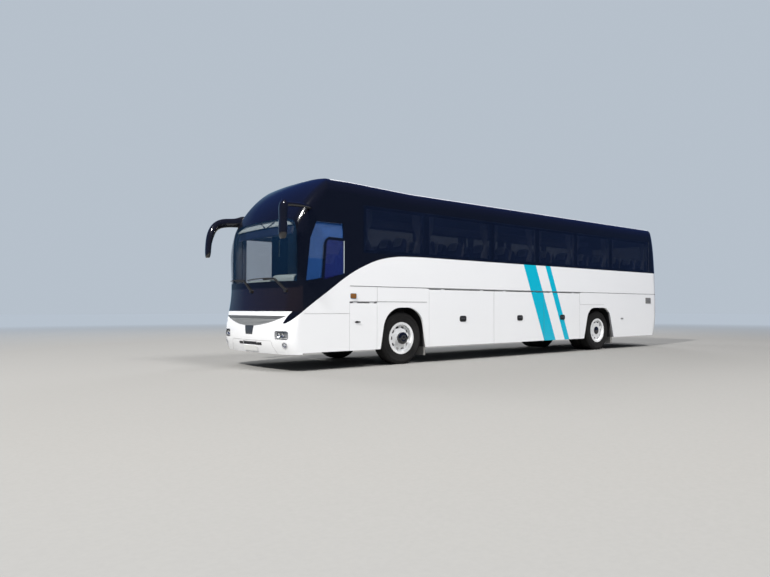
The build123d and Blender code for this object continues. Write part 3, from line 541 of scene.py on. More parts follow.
class Shape:
    """Collects the parts of one piece in one mesh."""

    def __init__(self):
        self.mesh = bmesh.new()

    def ring(self, places):
        return [self.mesh.verts.new(place) for place in places]

    def bridge(self, first, second):
        """Faces between two rings of points; a ring may be a single point."""
        count = max(len(first), len(second))
        for k in range(count):
            n = (k + 1) % count
            corners = []
            for ring, order in ((first, (k, n)), (second, (n, k))):
                corners += [ring[0]] if len(ring) == 1 else [ring[j] for j in order]
            self.mesh.faces.new(corners)

    def skin(self, rings, ends=True):
        for first, second in zip(rings, rings[1:]):
            self.bridge(first, second)
        if ends:
            self.mesh.faces.new(rings[0])
            self.mesh.faces.new(rings[-1])

    def block(self, low, high, bevel=0.0, steps=2, turn=Matrix()):
        """A box with rounded edges, turned about its middle."""
        low, high = Vector(low), Vector(high)
        place = Matrix.Translation((low + high) / 2) @ turn
        made = bmesh.ops.create_cube(self.mesh, size=1.0, matrix=place @ Matrix.Diagonal((*(high - low), 1)))
        if bevel:
            edges = {edge for vert in made["verts"] for edge in vert.link_edges}
            bmesh.ops.bevel(self.mesh, geom=list(edges), offset=bevel, segments=steps, profile=0.5,
                            affect="EDGES")

    def lathe(self, profile, centre, axis, sides=48):
        """Turn a profile about an axis; columns: radius, distance along the axis. Radius 0 is a point."""
        turn = facing(axis)
        self.skin([self.ring(Vector(centre) + turn @ place for place in circle(radius, sides, along))
                   for radius, along in profile], ends=False)

    def tube(self, points, radius, sides=12):
        """A round bar along some points, with flat ends."""
        points = [Vector(point) for point in points]
        turns = [facing(ahead) for ahead in courses(points)]
        self.skin([self.ring(point + turn @ place for place in circle(radius, sides))
                   for point, turn in zip(points, turns)])

    def strip(self, path, wide, proud=0.0012, deep=0.003):
        """A thin raised line along places on a surface, each given with its normal."""
        rings = []
        for (place, normal), ahead in zip(path, courses([place for place, _ in path])):
            beside = ahead.cross(normal).normalized() * wide / 2
            top, foot = place + normal * proud, place - normal * deep
            rings.append(self.ring([top + beside, top - beside, foot - beside, foot + beside]))
        self.skin(rings)

    def line(self, finder, corners, step, wide, proud):
        """A strip laid on the surface that the finder reads."""
        self.strip(laid(finder, corners, step), wide, proud)

    def plaque(self, centre, out, size, corner, proud, deep=0.002, edge=0.003):
        """A plate with rounded corners on a surface."""
        out = Vector(out).normalized()
        across = Vector((0, 0, 1)).cross(out) if abs(out.z) < 0.9 else Vector((0, 1, 0))
        across.normalize()
        up = out.cross(across)
        wide, tall = size[0] / 2, size[1] / 2
        corner = min(corner, wide, tall)
        steps = 6
        rings = []
        for inset, height in ((0.0, -deep), (0.0, proud - edge), (edge, proud)):
            reach = max(corner - inset, 0.0002)
            places = []
            for k, (sx, sy) in enumerate(((1, 1), (-1, 1), (-1, -1), (1, -1))):
                for j in range(steps + 1):
                    angle = math.pi / 2 * (k + j / steps)
                    a = sx * (wide - corner) + reach * math.cos(angle)
                    b = sy * (tall - corner) + reach * math.sin(angle)
                    places.append(Vector(centre) + across * a + up * b + out * height)
            rings.append(self.ring(places))
        self.skin(rings)

    def grid(self, place, across, along):
        """A sheet of four-sided faces from a function of two shares, each from 0 to 1."""
        rows = [self.ring(place(i / across, j / along) for i in range(across + 1)) for j in range(along + 1)]
        for low, high in zip(rows, rows[1:]):
            for i in range(across):
                self.mesh.faces.new((low[i], low[i + 1], high[i + 1], high[i]))

    def pillow(self, centre, size, power, cuts, turn, form=lambda local: local):
        """A crowned cushion: a cube's grid pushed onto a rounded form; form may bend its points."""
        made = {}

        def vert(key):
            if key not in made:
                share = [2 * k / cuts - 1 for k in key]
                length = sum(abs(s) ** power for s in share) ** (1 / power)
                local = form(Vector(s / length * wide / 2 for s, wide in zip(share, size)))
                made[key] = self.mesh.verts.new(Vector(centre) + turn @ local)
            return made[key]

        for axis in range(3):
            first, second = (axis + 1) % 3, (axis + 2) % 3
            for level in (0, cuts):
                for i in range(cuts):
                    for j in range(cuts):
                        corners = []
                        for a, b in ((i, j), (i + 1, j), (i + 1, j + 1), (i, j + 1)):
                            key = [0, 0, 0]
                            key[axis], key[first], key[second] = level, a, b
                            corners.append(vert(tuple(key)))
                        self.mesh.faces.new(corners)

    def plain(self, name, material):
        """The shape as an object of the scene."""
        bmesh.ops.recalc_face_normals(self.mesh, faces=self.mesh.faces)
        data = bpy.data.meshes.new(name)
        self.mesh.to_mesh(data)
        self.mesh.free()
        data.materials.append(finish[material])
        made = bpy.data.objects.new(name, data)
        show(made)
        return made

    def piece(self, name, material, slot, body="body_shell", sharp=40, thick=0.0):
        """The shape as a smooth piece that rides on a body; a sheet gets its thickness."""
        made = self.plain(name, material)
        made.data.shade_smooth()
        made.data.set_sharp_from_angle(angle=math.radians(sharp))
        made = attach(made, body)
        if thick:
            made.modifiers.new("thickness", "SOLIDIFY").thickness = thick
        return made


def shapes(count):
    return [Shape() for _ in range(count)]


# Tyres with their tread


def tread_profile(width, radius, bead):
    """Half of a tyre's section from bead to crown; columns: radius, distance off the middle, notch depth."""
    edge, groove = width / 2, 0.013
    # Columns: out from the bead, in from the edge
    wall = [(0, 0.022), (0.01, 0.016), (0.03, 0.01), (0.034, 0.006), (0.042, 0.006), (0.048, 0.009),
            (0.085, 0.002), (0.125, 0), (0.165, 0.002), (0.171, -0.0005), (0.177, 0.004)]
    rows = [(bead + out, edge - inward, 0) for out, inward in wall]
    # Columns: down from the crown, in from the edge, notch depth
    shoulder = [(0.03, 0.012, 0.002), (0.014, 0.02, 0.01), (0.004, 0.029, 0.012), (0.001, 0.04, 0.01)]
    rows += [(radius - drop, edge - inward, cut) for drop, inward, cut in shoulder]
    for place in (0.078, 0.03):
        rows += [(radius - drop, place + shift, 0)
                 for drop, shift in ((0, 0.007), (groove, 0.004), (groove, -0.004), (0, -0.007))]
    return rows + [(radius + 0.0003, 0.012, 0.004)]


def tyre(shape, x, y, node):
    """One tyre about the node's axle, with shoulder notches and wavy grooves."""
    low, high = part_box(node)
    radius = (high.z - low.z) / 2
    profile = tread_profile(0.294, radius, radius - 0.236)
    full = profile + [(r, -out, cut) for r, out, cut in reversed(profile)]
    count = 216
    rings = []
    for k in range(count):
        angle = 2 * math.pi * k / count
        notched = k % 4 < 1
        wave = 0.0035 * (1 if k % 12 < 6 else -1)
        places = []
        for r, out, cut in full:
            reach = r - cut if notched else r
            shift = wave if abs(out) < 0.09 and r > radius - 0.02 else 0.0
            places.append((x + reach * math.cos(angle), y + out + shift, axle_z + reach * math.sin(angle)))
        rings.append(shape.ring(places))
    for ring, after in zip(rings, rings[1:] + rings[:1]):
        for j in range(len(full)):
            n = (j + 1) % len(full)
            shape.mesh.faces.new((ring[j], ring[n], after[n], after[j]))


for word, side in sides:
    for node, x, body in (("front_" + word + "_tyre", front_axle, "front_" + word + "_wheel"),
                          ("rear_" + word + "_tyres", rear_axle, "rear_" + word + "_wheels")):
        shape = Shape()
        for low, high in solids(node):
            tyre(shape, x, (low.y + high.y) / 2, node)
        made = shape.piece(node + "_tread", "tyre_rubber", "tyre", body, sharp=35)
        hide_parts(node)


# Hub caps


def hub_cap(name, x, y, side, reach, cap, body):
    """A black cap with a raised middle over a wheel's hub."""
    bevel = 0.014
    # Columns: radius, distance out from the wheel's face
    profile = [(0, 0.01), (cap * 0.25, 0.0095), (cap * 0.48, 0.0065), (cap * 0.52, 0.0085),
               (cap * 0.6, 0.008), (cap * 0.66, 0.0045), (cap - bevel - 0.004, 0.0028),
               (cap - bevel + 0.001, 0.001), (cap + 0.0015, -0.013), (cap + 0.002, -0.02),
               (cap + 0.002, -0.06), (cap + 0.0006, -0.06), (cap + 0.0006, -0.02), (0, 0.0004)]
    shape = Shape()
    shape.lathe([(radius, reach + out) for radius, out in profile], (x, y, axle_z), (0, side, 0), 64)
    shape.piece(name + "_hub_cap", "gloss_black", "rim_white", body, sharp=30)


def face_reach(node, x, y):
    """How far a wheel's middle stands out from the middle of its tyres."""
    place, _ = hit(skin_of(node), (x, y + 1, axle_z), (0, -1, 0))
    return place.y - y


front_reach = face_reach("front_left_rim", front_axle, front_tyre.y)
rear_reach = face_reach("rear_left_rim", rear_axle, rear_tyres.y)
for word, side in sides:
    for end, x, y, reach, cap, noun in (("front_", front_axle, front_tyre.y, front_reach, 0.118, "_wheel"),
                                        ("rear_", rear_axle, rear_tyres.y, rear_reach, 0.1, "_wheels")):
        hub_cap(end + word, x, side * y, side, reach, cap, end + word + noun)


# Seats


def seat_forms(cloth, covers, frames, box, places):
    """The seats of one row: cushions and backs, head covers, shells and legs."""
    low, high = box
    rake = Matrix.Rotation(math.radians(-13), 3, "Y")
    recline = Matrix.Rotation(math.radians(5), 3, "Y")

    def at(back, y, up):
        return Vector((high.x - 0.01 - back, y, low.z + up))

    for y, width in places:
        w = width - 0.02

        def sag(p):
            return Vector((p.x, p.y, p.z - 0.012 * (1 - (2 * p.y / w) ** 2) if p.z > 0 else p.z))

        def hollow(p):
            taper = 1 - 0.12 * max(0.0, p.z / 0.36)
            if p.x <= 0:
                return Vector((p.x, p.y * taper, p.z))
            bolster = (abs(2 * p.y / w)) ** 3
            forward = 0.022 * bolster - 0.012 * (1 - bolster)
            lumbar = 0.016 * math.exp(-((p.z + 0.16) / 0.12) ** 2)
            return Vector((p.x + forward + lumbar, p.y * taper, p.z))

        cloth.pillow(at(0.235, y, 0.395), (0.47, w, 0.13), 4.5, 9, recline, sag)
        cloth.pillow(at(0.52, y, 0.78), (0.12, w, 0.74), 4.5, 9, rake, hollow)
        covers.pillow(at(0.59, y, 1.045), (0.15, w * 0.62, 0.2), 6.0, 7, rake)
        # rear shell with its light edge, bowed along the back; columns: back, up
        bow = [(0.455, 0.36), (0.52, 0.52), (0.575, 0.8), (0.64, 1.02), (0.655, 1.12)]
        for edge in (-1, 1):
            frames.tube([at(back, y + edge * (w / 2 - 0.004), up) for back, up in bow], 0.014, 8)
        frames.block(at(0.625, y - w / 2 + 0.02, 0.42), at(0.6, y + w / 2 - 0.02, 1.02), 0.01, 2,
                     rake.to_4x4())
    inner, outer = low.y, high.y
    for y in (inner + 0.03, (inner + outer) / 2, outer - 0.03):
        frames.block(at(0.44, y - 0.022, 0.58), at(0.14, y + 0.022, 0.625), 0.018, 3)
    for y in (inner + 0.14, outer - 0.14):
        frames.tube([at(0.12, y, 0), at(0.16, y, 0.34)], 0.018)
        frames.tube([at(0.4, y, 0), at(0.38, y, 0.34)], 0.018)
        frames.block(at(0.44, y - 0.025, 0), at(0.08, y + 0.025, 0.012), 0.004)
    frames.block(at(0.42, inner + 0.04, 0.29), at(0.06, outer - 0.04, 0.33), 0.012)


# Columns: node, seats side by side, material and slot of the frames, names of the pieces
seat_rows = [
    (node, 2, "seat_shell", "lining", node + "_cushions", node + "_head_covers", node + "_frames")
    for node in ("left_seats", "right_seats")
]
seat_rows.append(("driver_seat", 1, "dark_dash", "dash", "driver_cushions", "driver_head_cover",
                  "driver_seat_frame"))
for node, count, material, slot, cushions, head_covers, frame_name in seat_rows:
    cloth, covers, frames = shapes(3)
    for low, high in solids(node) if count > 1 else [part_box(node)]:
        pitch = (high.y - low.y) / count
        places = [(low.y + pitch * (k + 0.5), pitch) for k in range(count)]
        seat_forms(cloth, covers, frames, (low, high), places)
        if count == 1:
            frames.lathe([(0, 0), (0.16, 0), (0.16, 0.02), (0.09, 0.06), (0.075, 0.2), (0.12, 0.3), (0, 0.3)],
                         (high.x - 0.26, places[0][0], low.z), (0, 0, 1), 32)
    made = cloth.piece(cushions, "seat_cloth", "seat_fabric", sharp=60)
    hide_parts(node)
    made = covers.piece(head_covers, "head_cloth", "seat_fabric", sharp=60)
    frames.piece(frame_name, material, slot)


# Curtains tied back beside the window pillars

pane_boxes = [box for box in solids("side_windows") if box[1].y > half - 0.002 and box[0].z > 2.0]
pane_foot = min(low.z for low, high in pane_boxes)
pane_head = max(high.z for low, high in pane_boxes)
curtain_flat = (0.62, pane_head - pane_foot - 0.1)


def curtain(name, hang_x, toward, side):
    """A gathered curtain: wide at its rail, drawn in at its tie and looser below."""
    folds = 6
    depth = half - 0.105

    def place(s, t):
        z = pane_head - 0.05 - t * curtain_flat[1]
        tied = math.exp(-((t - 0.62) / 0.22) ** 2)
        width = 0.2 - 0.125 * tied - 0.02 * t
        slack = math.sqrt(max(0.0, curtain_flat[0] ** 2 - width ** 2)) / (4 * folds) * 0.92
        fold = slack * math.sin(2 * math.pi * folds * s + 0.7 * math.sin(5 * s + 2 * t))
        return Vector((hang_x + toward * (width * s + 0.02 * t), side * (depth + fold), z))

    shape = Shape()
    shape.grid(place, folds * 9, 16)
    made = shape.piece(name, "curtain_cloth", "seat_fabric", sharp=80, thick=0.0015)


for word, side in sides:
    for number, (low, high) in enumerate(pane_boxes):
        curtain(word + "_curtain_" + str(number) + "_fore", high.x - 0.09, -1, side)
        curtain(word + "_curtain_" + str(number) + "_aft", low.x + 0.09, 1, side)


# Front: plate, what stands behind the glass, wiper blades, mirrors and lamps

PLATE = (0.52, 0.11)


def front_plate():
    """The blank plate, a black bar over it painted as the shadow under the bumper's shelf, the tab under the
    grille and the bumper's panel lines.
    """
    plate_z, shadow_bar_z = 0.375, 0.462
    plate, slot, tab, lines = shapes(4)
    place, normal = on_nose(0.0, plate_z)
    plate.plaque(place + normal * 0.004, normal, PLATE, 0.008, 0.006, deep=0.004)
    plate.piece("front_plate", "plate_blank", "roof_grey")
    # the black bar over the plate is a painted shadow of the shelf above it
    slot.line(on_nose, [(-0.43, shadow_bar_z), (0.43, shadow_bar_z)], 0.03, 0.05, 0.003)
    slot.piece("plate_shadow_bar", "black_plastic", "black_plastic")

    head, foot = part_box("grille")[0].z + 0.002, 0.626
    head_half, foot_half = 0.17, 0.128

    def tab_place(s, t):
        wide = foot_half + (head_half - foot_half) * t
        place, normal = on_nose((2 * s - 1) * wide, foot + (head - foot) * t)
        edge = min(s, 1 - s) * 2 * wide
        lift = 0.007 * min(1.0, edge / 0.012, t * (head - foot) / 0.012)
        return place + normal * (lift + 0.0004)

    tab.grid(tab_place, 24, 14)
    tab.piece("grille_tab", "tab_grey", "black_plastic")
    for side in (1, -1):
        path = [(side * 0.865, 0.3), (side * 0.775, 0.434), (side * 0.755, 0.505)]
        lines.line(on_nose, path, 0.03, 0.009, 0.0015)
    lines.line(on_nose, [(-0.755, 0.523), (0.755, 0.523)], 0.03, 0.006, 0.0015)
    lines.piece("bumper_lines", "seam_light", "rubber")


front_plate()


def screen_inside():
    """What stands behind the windscreen: header board with its stays, sun visor, dash cowl and door post."""
    header, visor, cowl, stays, rail, post = shapes(6)
    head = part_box("windscreen")[1].z

    def behind(depth, y0, y1, z0, z1):
        def place(s, t):
            spot, normal = on_nose(y0 + (y1 - y0) * s, z0 + (z1 - z0) * t)
            return spot - Vector((normal.x, normal.y, 0)) * depth
        return place

    header.grid(behind(0.055, -1.1, 1.12, head - 0.14, head - 0.006), 24, 4)
    visor.grid(behind(0.085, -1.02, 1.1, head - 0.315, head - 0.135), 24, 5)
    # Each stay's two ends: place across, distance below the screen's head
    for ends in (((-0.06, 0.01), (0.2, 0.135)), ((0.27, 0.125), (0.45, 0.03)),
                 ((0.86, 0.015), (1.1, 0.125))):
        found = [on_nose(y, head - drop) for y, drop in ends]
        stays.tube([spot - normal * 0.04 for spot, normal in found], 0.011, 10)

    # moulded cowl; columns: distance behind the glass, height over the dashboard's highest edge
    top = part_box("dashboard")[1].z
    profile = [(0.024, -0.096), (0.034, -0.03), (0.06, 0.012), (0.11, 0.026), (0.17, 0.016),
               (0.215, -0.02), (0.24, -0.096)]

    def cowl_place(s, t):
        y = -0.35 + 1.53 * s
        spot, _ = on_nose(y, top)
        share = t * (len(profile) - 1)
        k = min(int(share), len(profile) - 2)
        reach, rise = (a + (b - a) * (share - k) for a, b in zip(profile[k], profile[k + 1]))
        hump = min(1.0, max(0.0, (y - 0.45) / 0.16))
        hump = hump * hump * (3 - 2 * hump) * (0.085 if rise > -0.09 else 0.0)
        return Vector((spot.x - reach * (1 + 0.2 * abs(y)), y, top + rise + hump))

    cowl.grid(cowl_place, 40, 18)
    # dark post behind the front door with its grab rail
    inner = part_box("front_door")[0].y + 0.06
    post.block((front_axle + 1.19, inner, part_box("passenger_floor")[1].z - 0.02),
               (front_axle + 1.575, inner + 0.022, 2.62), 0.008)
    post.piece("door_post", "post_lining", "dash")
    rail.tube([(front_axle + 1.42, inner + 0.05, z) for z in (2.2, 2.56)], 0.014)
    rail.piece("door_rail", "header_grey", "lining")
    header.piece("screen_header", "header_grey", "lining", sharp=60, thick=0.003)
    visor.piece("sun_visor", "visor_navy", "dash", sharp=60, thick=0.003)
    cowl.piece("dash_cowl", "cowl_grey", "dash", sharp=60, thick=0.003)
    stays.piece("header_stays", "dark_dash", "dash")


screen_inside()


def driver_pane():
    """The driver's sliding pane: black frame, darker glass and the light edge of its rail."""
    bars, glass, edge = shapes(3)
    out = Vector((0, 1, 0))

    def spot(ahead, z):
        return Vector((front_axle + ahead, half, z))

    # Columns: distance ahead of the front axle, height
    bar = [(1.452, 2.372), (1.79, 2.378), (1.838, 2.34), (1.858, 2.29), (1.885, 1.95), (1.905, 1.622)]
    foot = (1.452, 1.756)
    bars.strip([(spot(*place), out) for place in bar], 0.052, proud=0.002)
    edge.strip([(spot(*foot), out), (spot(1.452, 2.35), out)], 0.016, proud=0.002)
    glass.mesh.faces.new(glass.ring(spot(*place) + out * 0.0008 for place in bar + [foot]))
    bars.piece("driver_pane_frame", "gloss_black", "black_plastic")
    edge.piece("driver_pane_rail", "header_grey", "lining")
    glass.piece("driver_sliding_pane", "sliding_glass", "tinted_glass")


driver_pane()


def wiper_blades():
    """Blades on the arms: a carrier bow and a rubber lip that lies on the glass."""
    bows, lips = shapes(2)
    blade_z, count = 1.635, 14
    for tip, near, far in ((0.41, 0.62, -0.24), (-0.74, -0.46, -1.12)):
        lip, bow = [], []
        for k in range(count + 1):
            y = near + (far - near) * k / count
            spot, normal = on_nose(y, blade_z + 0.02 * (1 - ((y - tip) / 0.6) ** 2))
            lip.append((spot + normal * 0.003, normal))
            bow.append(spot + normal * (0.014 + 0.014 * math.sin(math.pi * k / count)))
        lips.strip(lip, 0.012, proud=0.006, deep=0.002)
        bows.tube(bow, 0.008, 8)
        spot, normal = on_nose(tip, blade_z)
        bows.plaque(spot + normal * 0.028, normal, (0.07, 0.035), 0.012, 0.006, deep=0.012)
    bows.piece("wiper_bows", "black_plastic", "black_plastic")
    lips.piece("wiper_lips", "rubber", "rubber")


wiper_blades()


def mirror_face(name, y, z, wide, tall):
    """Mirror glass on the rearward face of a mirror's head."""
    tree = skin_of("mirrors")
    glass = Shape()

    def place(s, t):
        a, b = 2 * s - 1, 2 * t - 1
        a, b = a * math.sqrt(1 - b * b / 2), b * math.sqrt(1 - a * a / 2)
        start = (front_axle + 1.2, y + a * wide / 2, z + b * tall / 2)
        return hit(tree, start, (1, 0, 0))[0] + Vector((-0.002, 0, 0))

    glass.grid(place, 12, 24)
    glass.piece(name, "mirror_glass", "black_plastic")


mirror_face("left_mirror_glass", 1.43, 2.61, 0.15, 0.46)
mirror_face("right_mirror_glass", -1.43, 2.4, 0.15, 0.44)


def lamp_bowls():
    """Reflectors, lenses and light strips behind the headlamp covers, and the fog lamps' faces."""
    bowls, lenses, backs, rims = shapes(4)
    for low, high in solids("headlamps"):
        side = 1 if low.y > 0 else -1
        y, z = (low.y + high.y) / 2, (low.z + high.z) / 2
        wide = high.y - low.y
        if wide < 0.12:
            place, out = on_nose(y, z)
            backs.lathe([(0.058, 0.002), (0.056, 0.006), (0.045, 0.006), (0.041, 0.001), (0.041, -0.01)],
                        place, out, 40)
            bowls.lathe([(0.04, -0.004), (0.036, -0.012), (0.018, -0.036), (0, -0.04)], place, out, 32)
            lenses.lathe([(0, -0.002), (0.014, -0.003), (0.022, -0.008), (0.022, -0.014), (0, -0.014)],
                         place, out, 32)
            continue
        for across, radius in ((-0.052, 0.05), (0.045, 0.044)):
            place, _ = on_nose(y + side * across, z)
            centre = place - Vector((0.014, 0, 0))
            bowls.lathe([(radius, 0.004), (radius, -0.002), (radius * 0.86, -0.01), (radius * 0.6, -0.03),
                         (0.01, -0.045), (0, -0.045)], centre, (1, 0, 0), 40)
            lenses.lathe([(0, -0.012), (radius * 0.3, -0.014), (radius * 0.52, -0.022),
                          (radius * 0.55, -0.032), (0, -0.034)], centre, (1, 0, 0), 32)
            rims.lathe([(radius + 0.007, -0.002), (radius + 0.005, 0.004), (radius, 0.004),
                        (radius - 0.002, -0.004)], place - Vector((0.012, 0, 0)), (1, 0, 0), 40)
        found = [on_nose(low.y + 0.02 + (wide - 0.04) * k / 8, low.z + 0.022) for k in range(9)]
        lenses.tube([place - 0.01 * normal for place, normal in found], 0.006, 8)

        def back(s, t):
            height = low.z + 0.004 + (high.z - low.z - 0.008) * t
            place, normal = on_nose(low.y + 0.004 + (wide - 0.008) * s, height)
            return place - 0.047 * normal

        backs.grid(back, 12, 8)
    backs.piece("headlamp_backs", "lamp_silver", "black_plastic", thick=0.002)
    bowls.piece("headlamp_bowls", "reflector", "lamp_clear")
    rims.piece("headlamp_rims", "dark_dash", "black_plastic")
    lenses.piece("headlamp_lenses", "white_lens", "lamp_clear")


lamp_bowls()


# Flanks: handles, markers, vents and panel lines


def flank_lines():
    """Thin panel lines on the sides, the dark grey ones painted as the shadow under the mouldings and the
    shade in the grooves; distances are ahead of the front axle.
    """
    lines, faint = shapes(2)
    moulding_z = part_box("left_luggage_door_1")[1].z + 0.015
    flap_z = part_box("service_flap")[1].z + 0.014
    moulding, joint, groove = 0.011, 0.005, 0.008
    rear_end = -9.82
    # Columns: side, start, end, width
    runs = [
        (1, (1.32, moulding_z), (rear_end, moulding_z), moulding),
        (1, (1.323, flap_z), (-0.61, flap_z), groove),
        (1, (2.3, 1.01), (1.323, 1.01), joint),
        (1, (0.675, flap_z), (0.675, moulding_z), joint),
        (-1, (1.3, moulding_z), (-0.672, moulding_z), moulding),
        (-1, (-3.62, moulding_z), (-4.476, moulding_z), moulding),
        (-1, (-5.974, moulding_z), (rear_end, moulding_z), moulding),
        (-1, (1.28, flap_z), (-0.61, flap_z), groove),
    ]
    for side in (1, -1):
        runs.append((side, (-5.967, moulding_z - 0.006), (-5.967, 1.206), joint))
        runs.append((side, (-5.967, 1.206), (-7.1, 1.206), joint))
    proud, sunk = 0.002, 0.003
    for side, start, end, wide in runs:
        low = [front_axle + min(start[0], end[0]), half - sunk, min(start[1], end[1])]
        high = [front_axle + max(start[0], end[0]), half + proud, max(start[1], end[1])]
        across = 2 if start[1] == end[1] else 0
        low[across] -= wide / 2
        high[across] += wide / 2
        if side < 0:
            low[1], high[1] = -high[1], -low[1]
        (lines if wide > joint else faint).block(low, high)
    # raised strips along the mouldings and grooves, dark grey as their painted shadow and shade
    lines.piece("side_shadow_lines", "seam_grey", "rubber")
    faint.piece("panel_lines", "seam_light", "rubber")


flank_lines()


def luggage_handle(node, side):
    """A black cup plate with a grey folding lever, in the middle of a luggage door."""
    low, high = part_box(node)
    handle_z = 0.879
    out = (0, side, 0)

    def at(ahead, proud, up):
        return Vector(((low.x + high.x) / 2 + ahead, side * (half + proud), handle_z + up))

    cup, lever = shapes(2)
    cup.plaque(at(0, 0, 0), out, (0.205, 0.128), 0.045, 0.006)
    cup.plaque(at(0, 0.006, 0), out, (0.165, 0.09), 0.03, 0.003, deep=0.001, edge=0.002)
    lever.plaque(at(0, 0.008, 0.006), out, (0.115, 0.024), 0.012, 0.01)
    lever.lathe([(0, 0.016), (0.014, 0.016), (0.018, 0.012), (0.018, 0.0), (0, 0.0)],
                at(-0.04, 0.004, 0.006), out, 24)
    cup.piece(node + "_handle_cup", "black_plastic", "black_plastic", node)
    lever.piece(node + "_handle_lever", "lever_grey", "black_plastic", node)


for word, side, numbers in (("left", 1, (1, 2, 3)), ("right", -1, (1, 3))):
    for number in numbers:
        luggage_handle(word + "_luggage_door_" + str(number), side)


def flank_details():
    """Locks, side markers and vents on both sides."""
    bezels, markers, vents, slats, levers, lock = shapes(6)
    vent_low, vent_high = Vector((-9.56, 1.245)), Vector((-9.27, 1.412))
    size = vent_high - vent_low
    count = 6
    for word, side in sides:
        out = (0, side, 0)

        def spot(ahead, z, proud=0.0):
            return Vector((front_axle + ahead, side * (half + proud), z))

        bezels.plaque(spot(1.235, 1.334), out, (0.14, 0.098), 0.018, 0.004)
        markers.plaque(spot(1.235, 1.334, 0.004), out, (0.122, 0.08), 0.014, 0.01, edge=0.005)
        # louvred vent at the rear
        vents.plaque(spot(*(vent_low + vent_high) / 2), out, size, 0.02, 0.004)
        for k in range(count):
            z = vent_low.y + 0.022 + (size.y - 0.044) * k / (count - 1)
            low = (front_axle + vent_low.x + 0.016, side * half - 0.004, z - 0.009)
            high = (front_axle + vent_high.x - 0.016, side * half + 0.01, z + 0.004)
            slats.block(low, high, 0.002, 2, Matrix.Rotation(side * math.radians(24), 4, "X"))
        # small lever of the rear flap
        levers.plaque(spot(-7.99, 0.82), out, (0.135, 0.046), 0.016, 0.006)
    bezels.piece("marker_bezels", "bezel", "black_plastic")
    markers.piece("side_markers", "marker_brown", "lamp_red")
    vents.piece("rear_side_vents", "bezel", "black_plastic")
    slats.piece("rear_side_vent_slats", "vent_grey", "grille_grey")
    levers.piece("rear_flap_levers", "vent_grey", "black_plastic")

    place = Vector((front_axle + 1.152, half, 0.848))
    lock.plaque(place, (0, 1, 0), (0.062, 0.034), 0.012, 0.006)
    lock.plaque(place + Vector((-0.012, 0.005, 0)), (0, 1, 0), (0.125, 0.018), 0.008, 0.008)
    lock.piece("service_flap_lock", "black_plastic", "black_plastic", "service_flap")


flank_details()


# Tail


def level(z, reach):
    return [(-reach, z), (reach, z)]


def lid_details():
    """Louvres and lever of the engine lid."""
    lid = "engine_lid"
    low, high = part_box(lid)
    blades, gaps, lever = shapes(3)
    first, pitch, count = high.z - 0.11, 0.052, 8
    for k in range(count):
        z = first - k * pitch
        blades.line(on_tail, level(z, 0.7), 0.06, 0.034, 0.009)
        gaps.line(on_tail, level(z - 0.024, 0.7), 0.06, 0.014, 0.002)
    foot, head = first - (count - 1) * pitch - 0.035, first + 0.025
    for y in (0.712, -0.712):
        blades.line(on_tail, [(y, foot), (y, head)], 0.06, 0.024, 0.01)
    blades.piece("lid_louvres", "coach_paint", "white_paint", lid, sharp=30)
    gaps.piece("lid_louvre_gaps", "black_plastic", "black_plastic", lid)
    place, out = on_tail(0.0, low.z + 0.085)
    lever.plaque(place, out, (0.22, 0.07), 0.028, 0.006)
    lever.plaque(place + out * 0.005, out, (0.15, 0.026), 0.012, 0.012)
    lever.piece("lid_lever", "black_plastic", "black_plastic", lid)


lid_details()


def tail_details():
    """Blank plate with its lamps, reflectors, panel lines and high stop lamp."""
    plate, lamps, dark, reds = shapes(4)
    place, out = on_tail(0.0, 0.655)
    dark.plaque(place, out, (0.6, 0.175), 0.02, 0.004)
    plate.plaque(place + out * 0.004, out, PLATE, 0.008, 0.005)
    for y in (-0.15, 0.15):
        place, out = on_tail(y, 0.728)
        lamps.plaque(place + out * 0.004, out, (0.08, 0.022), 0.008, 0.014)
    for side in (1, -1):
        place, out = on_tail(side * 0.88, 0.52)
        dark.plaque(place, out, (0.15, 0.056), 0.014, 0.004)
        reds.plaque(place + out * 0.003, out, (0.136, 0.042), 0.01, 0.006)
        dark.line(on_tail, [(side * 0.97, 0.42), (side * 0.97, 2.12)], 0.08, 0.005, 0.0008)
    dark.line(on_tail, level(0.775, 1.1), 0.05, 0.006, 0.0012)
    stop_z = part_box("rear_window")[1].z + 0.075
    reds.line(on_tail, level(stop_z, 0.26), 0.04, 0.03, 0.006)
    dark.line(on_tail, level(stop_z, 0.28), 0.04, 0.044, 0.002)
    plate.piece("rear_plate", "plate_blank", "roof_grey")
    lamps.piece("plate_lamps", "white_lens", "lamp_clear")
    dark.piece("tail_trim", "black_plastic", "black_plastic")
    reds.piece("tail_reflectors", "red_lens", "lamp_red")


tail_details()


# Roof


def fan(guards, wells, centre):
    """A round fan opening with its ring, inner rings and spokes."""
    up = (0, 0, 1)
    guards.lathe([(0.185, -0.002), (0.185, 0.007), (0.172, 0.009), (0.166, 0.004), (0.166, -0.002)],
                 centre, up, 48)
    wells.lathe([(0.168, -0.001), (0.168, 0.0015), (0, 0.0015)], centre, up, 48)
    for radius in (0.045, 0.08, 0.115, 0.148):
        guards.lathe([(radius, 0.003), (radius + 0.005, 0.007), (radius + 0.01, 0.003)], centre, up, 40)
    spokes = 6
    for k in range(spokes):
        angle = math.pi * k / spokes
        reach = Vector((math.cos(angle), math.sin(angle), 0)) * 0.17
        hub = centre + Vector((0, 0, 0.006))
        guards.tube([hub - reach, hub + reach], 0.004, 6)


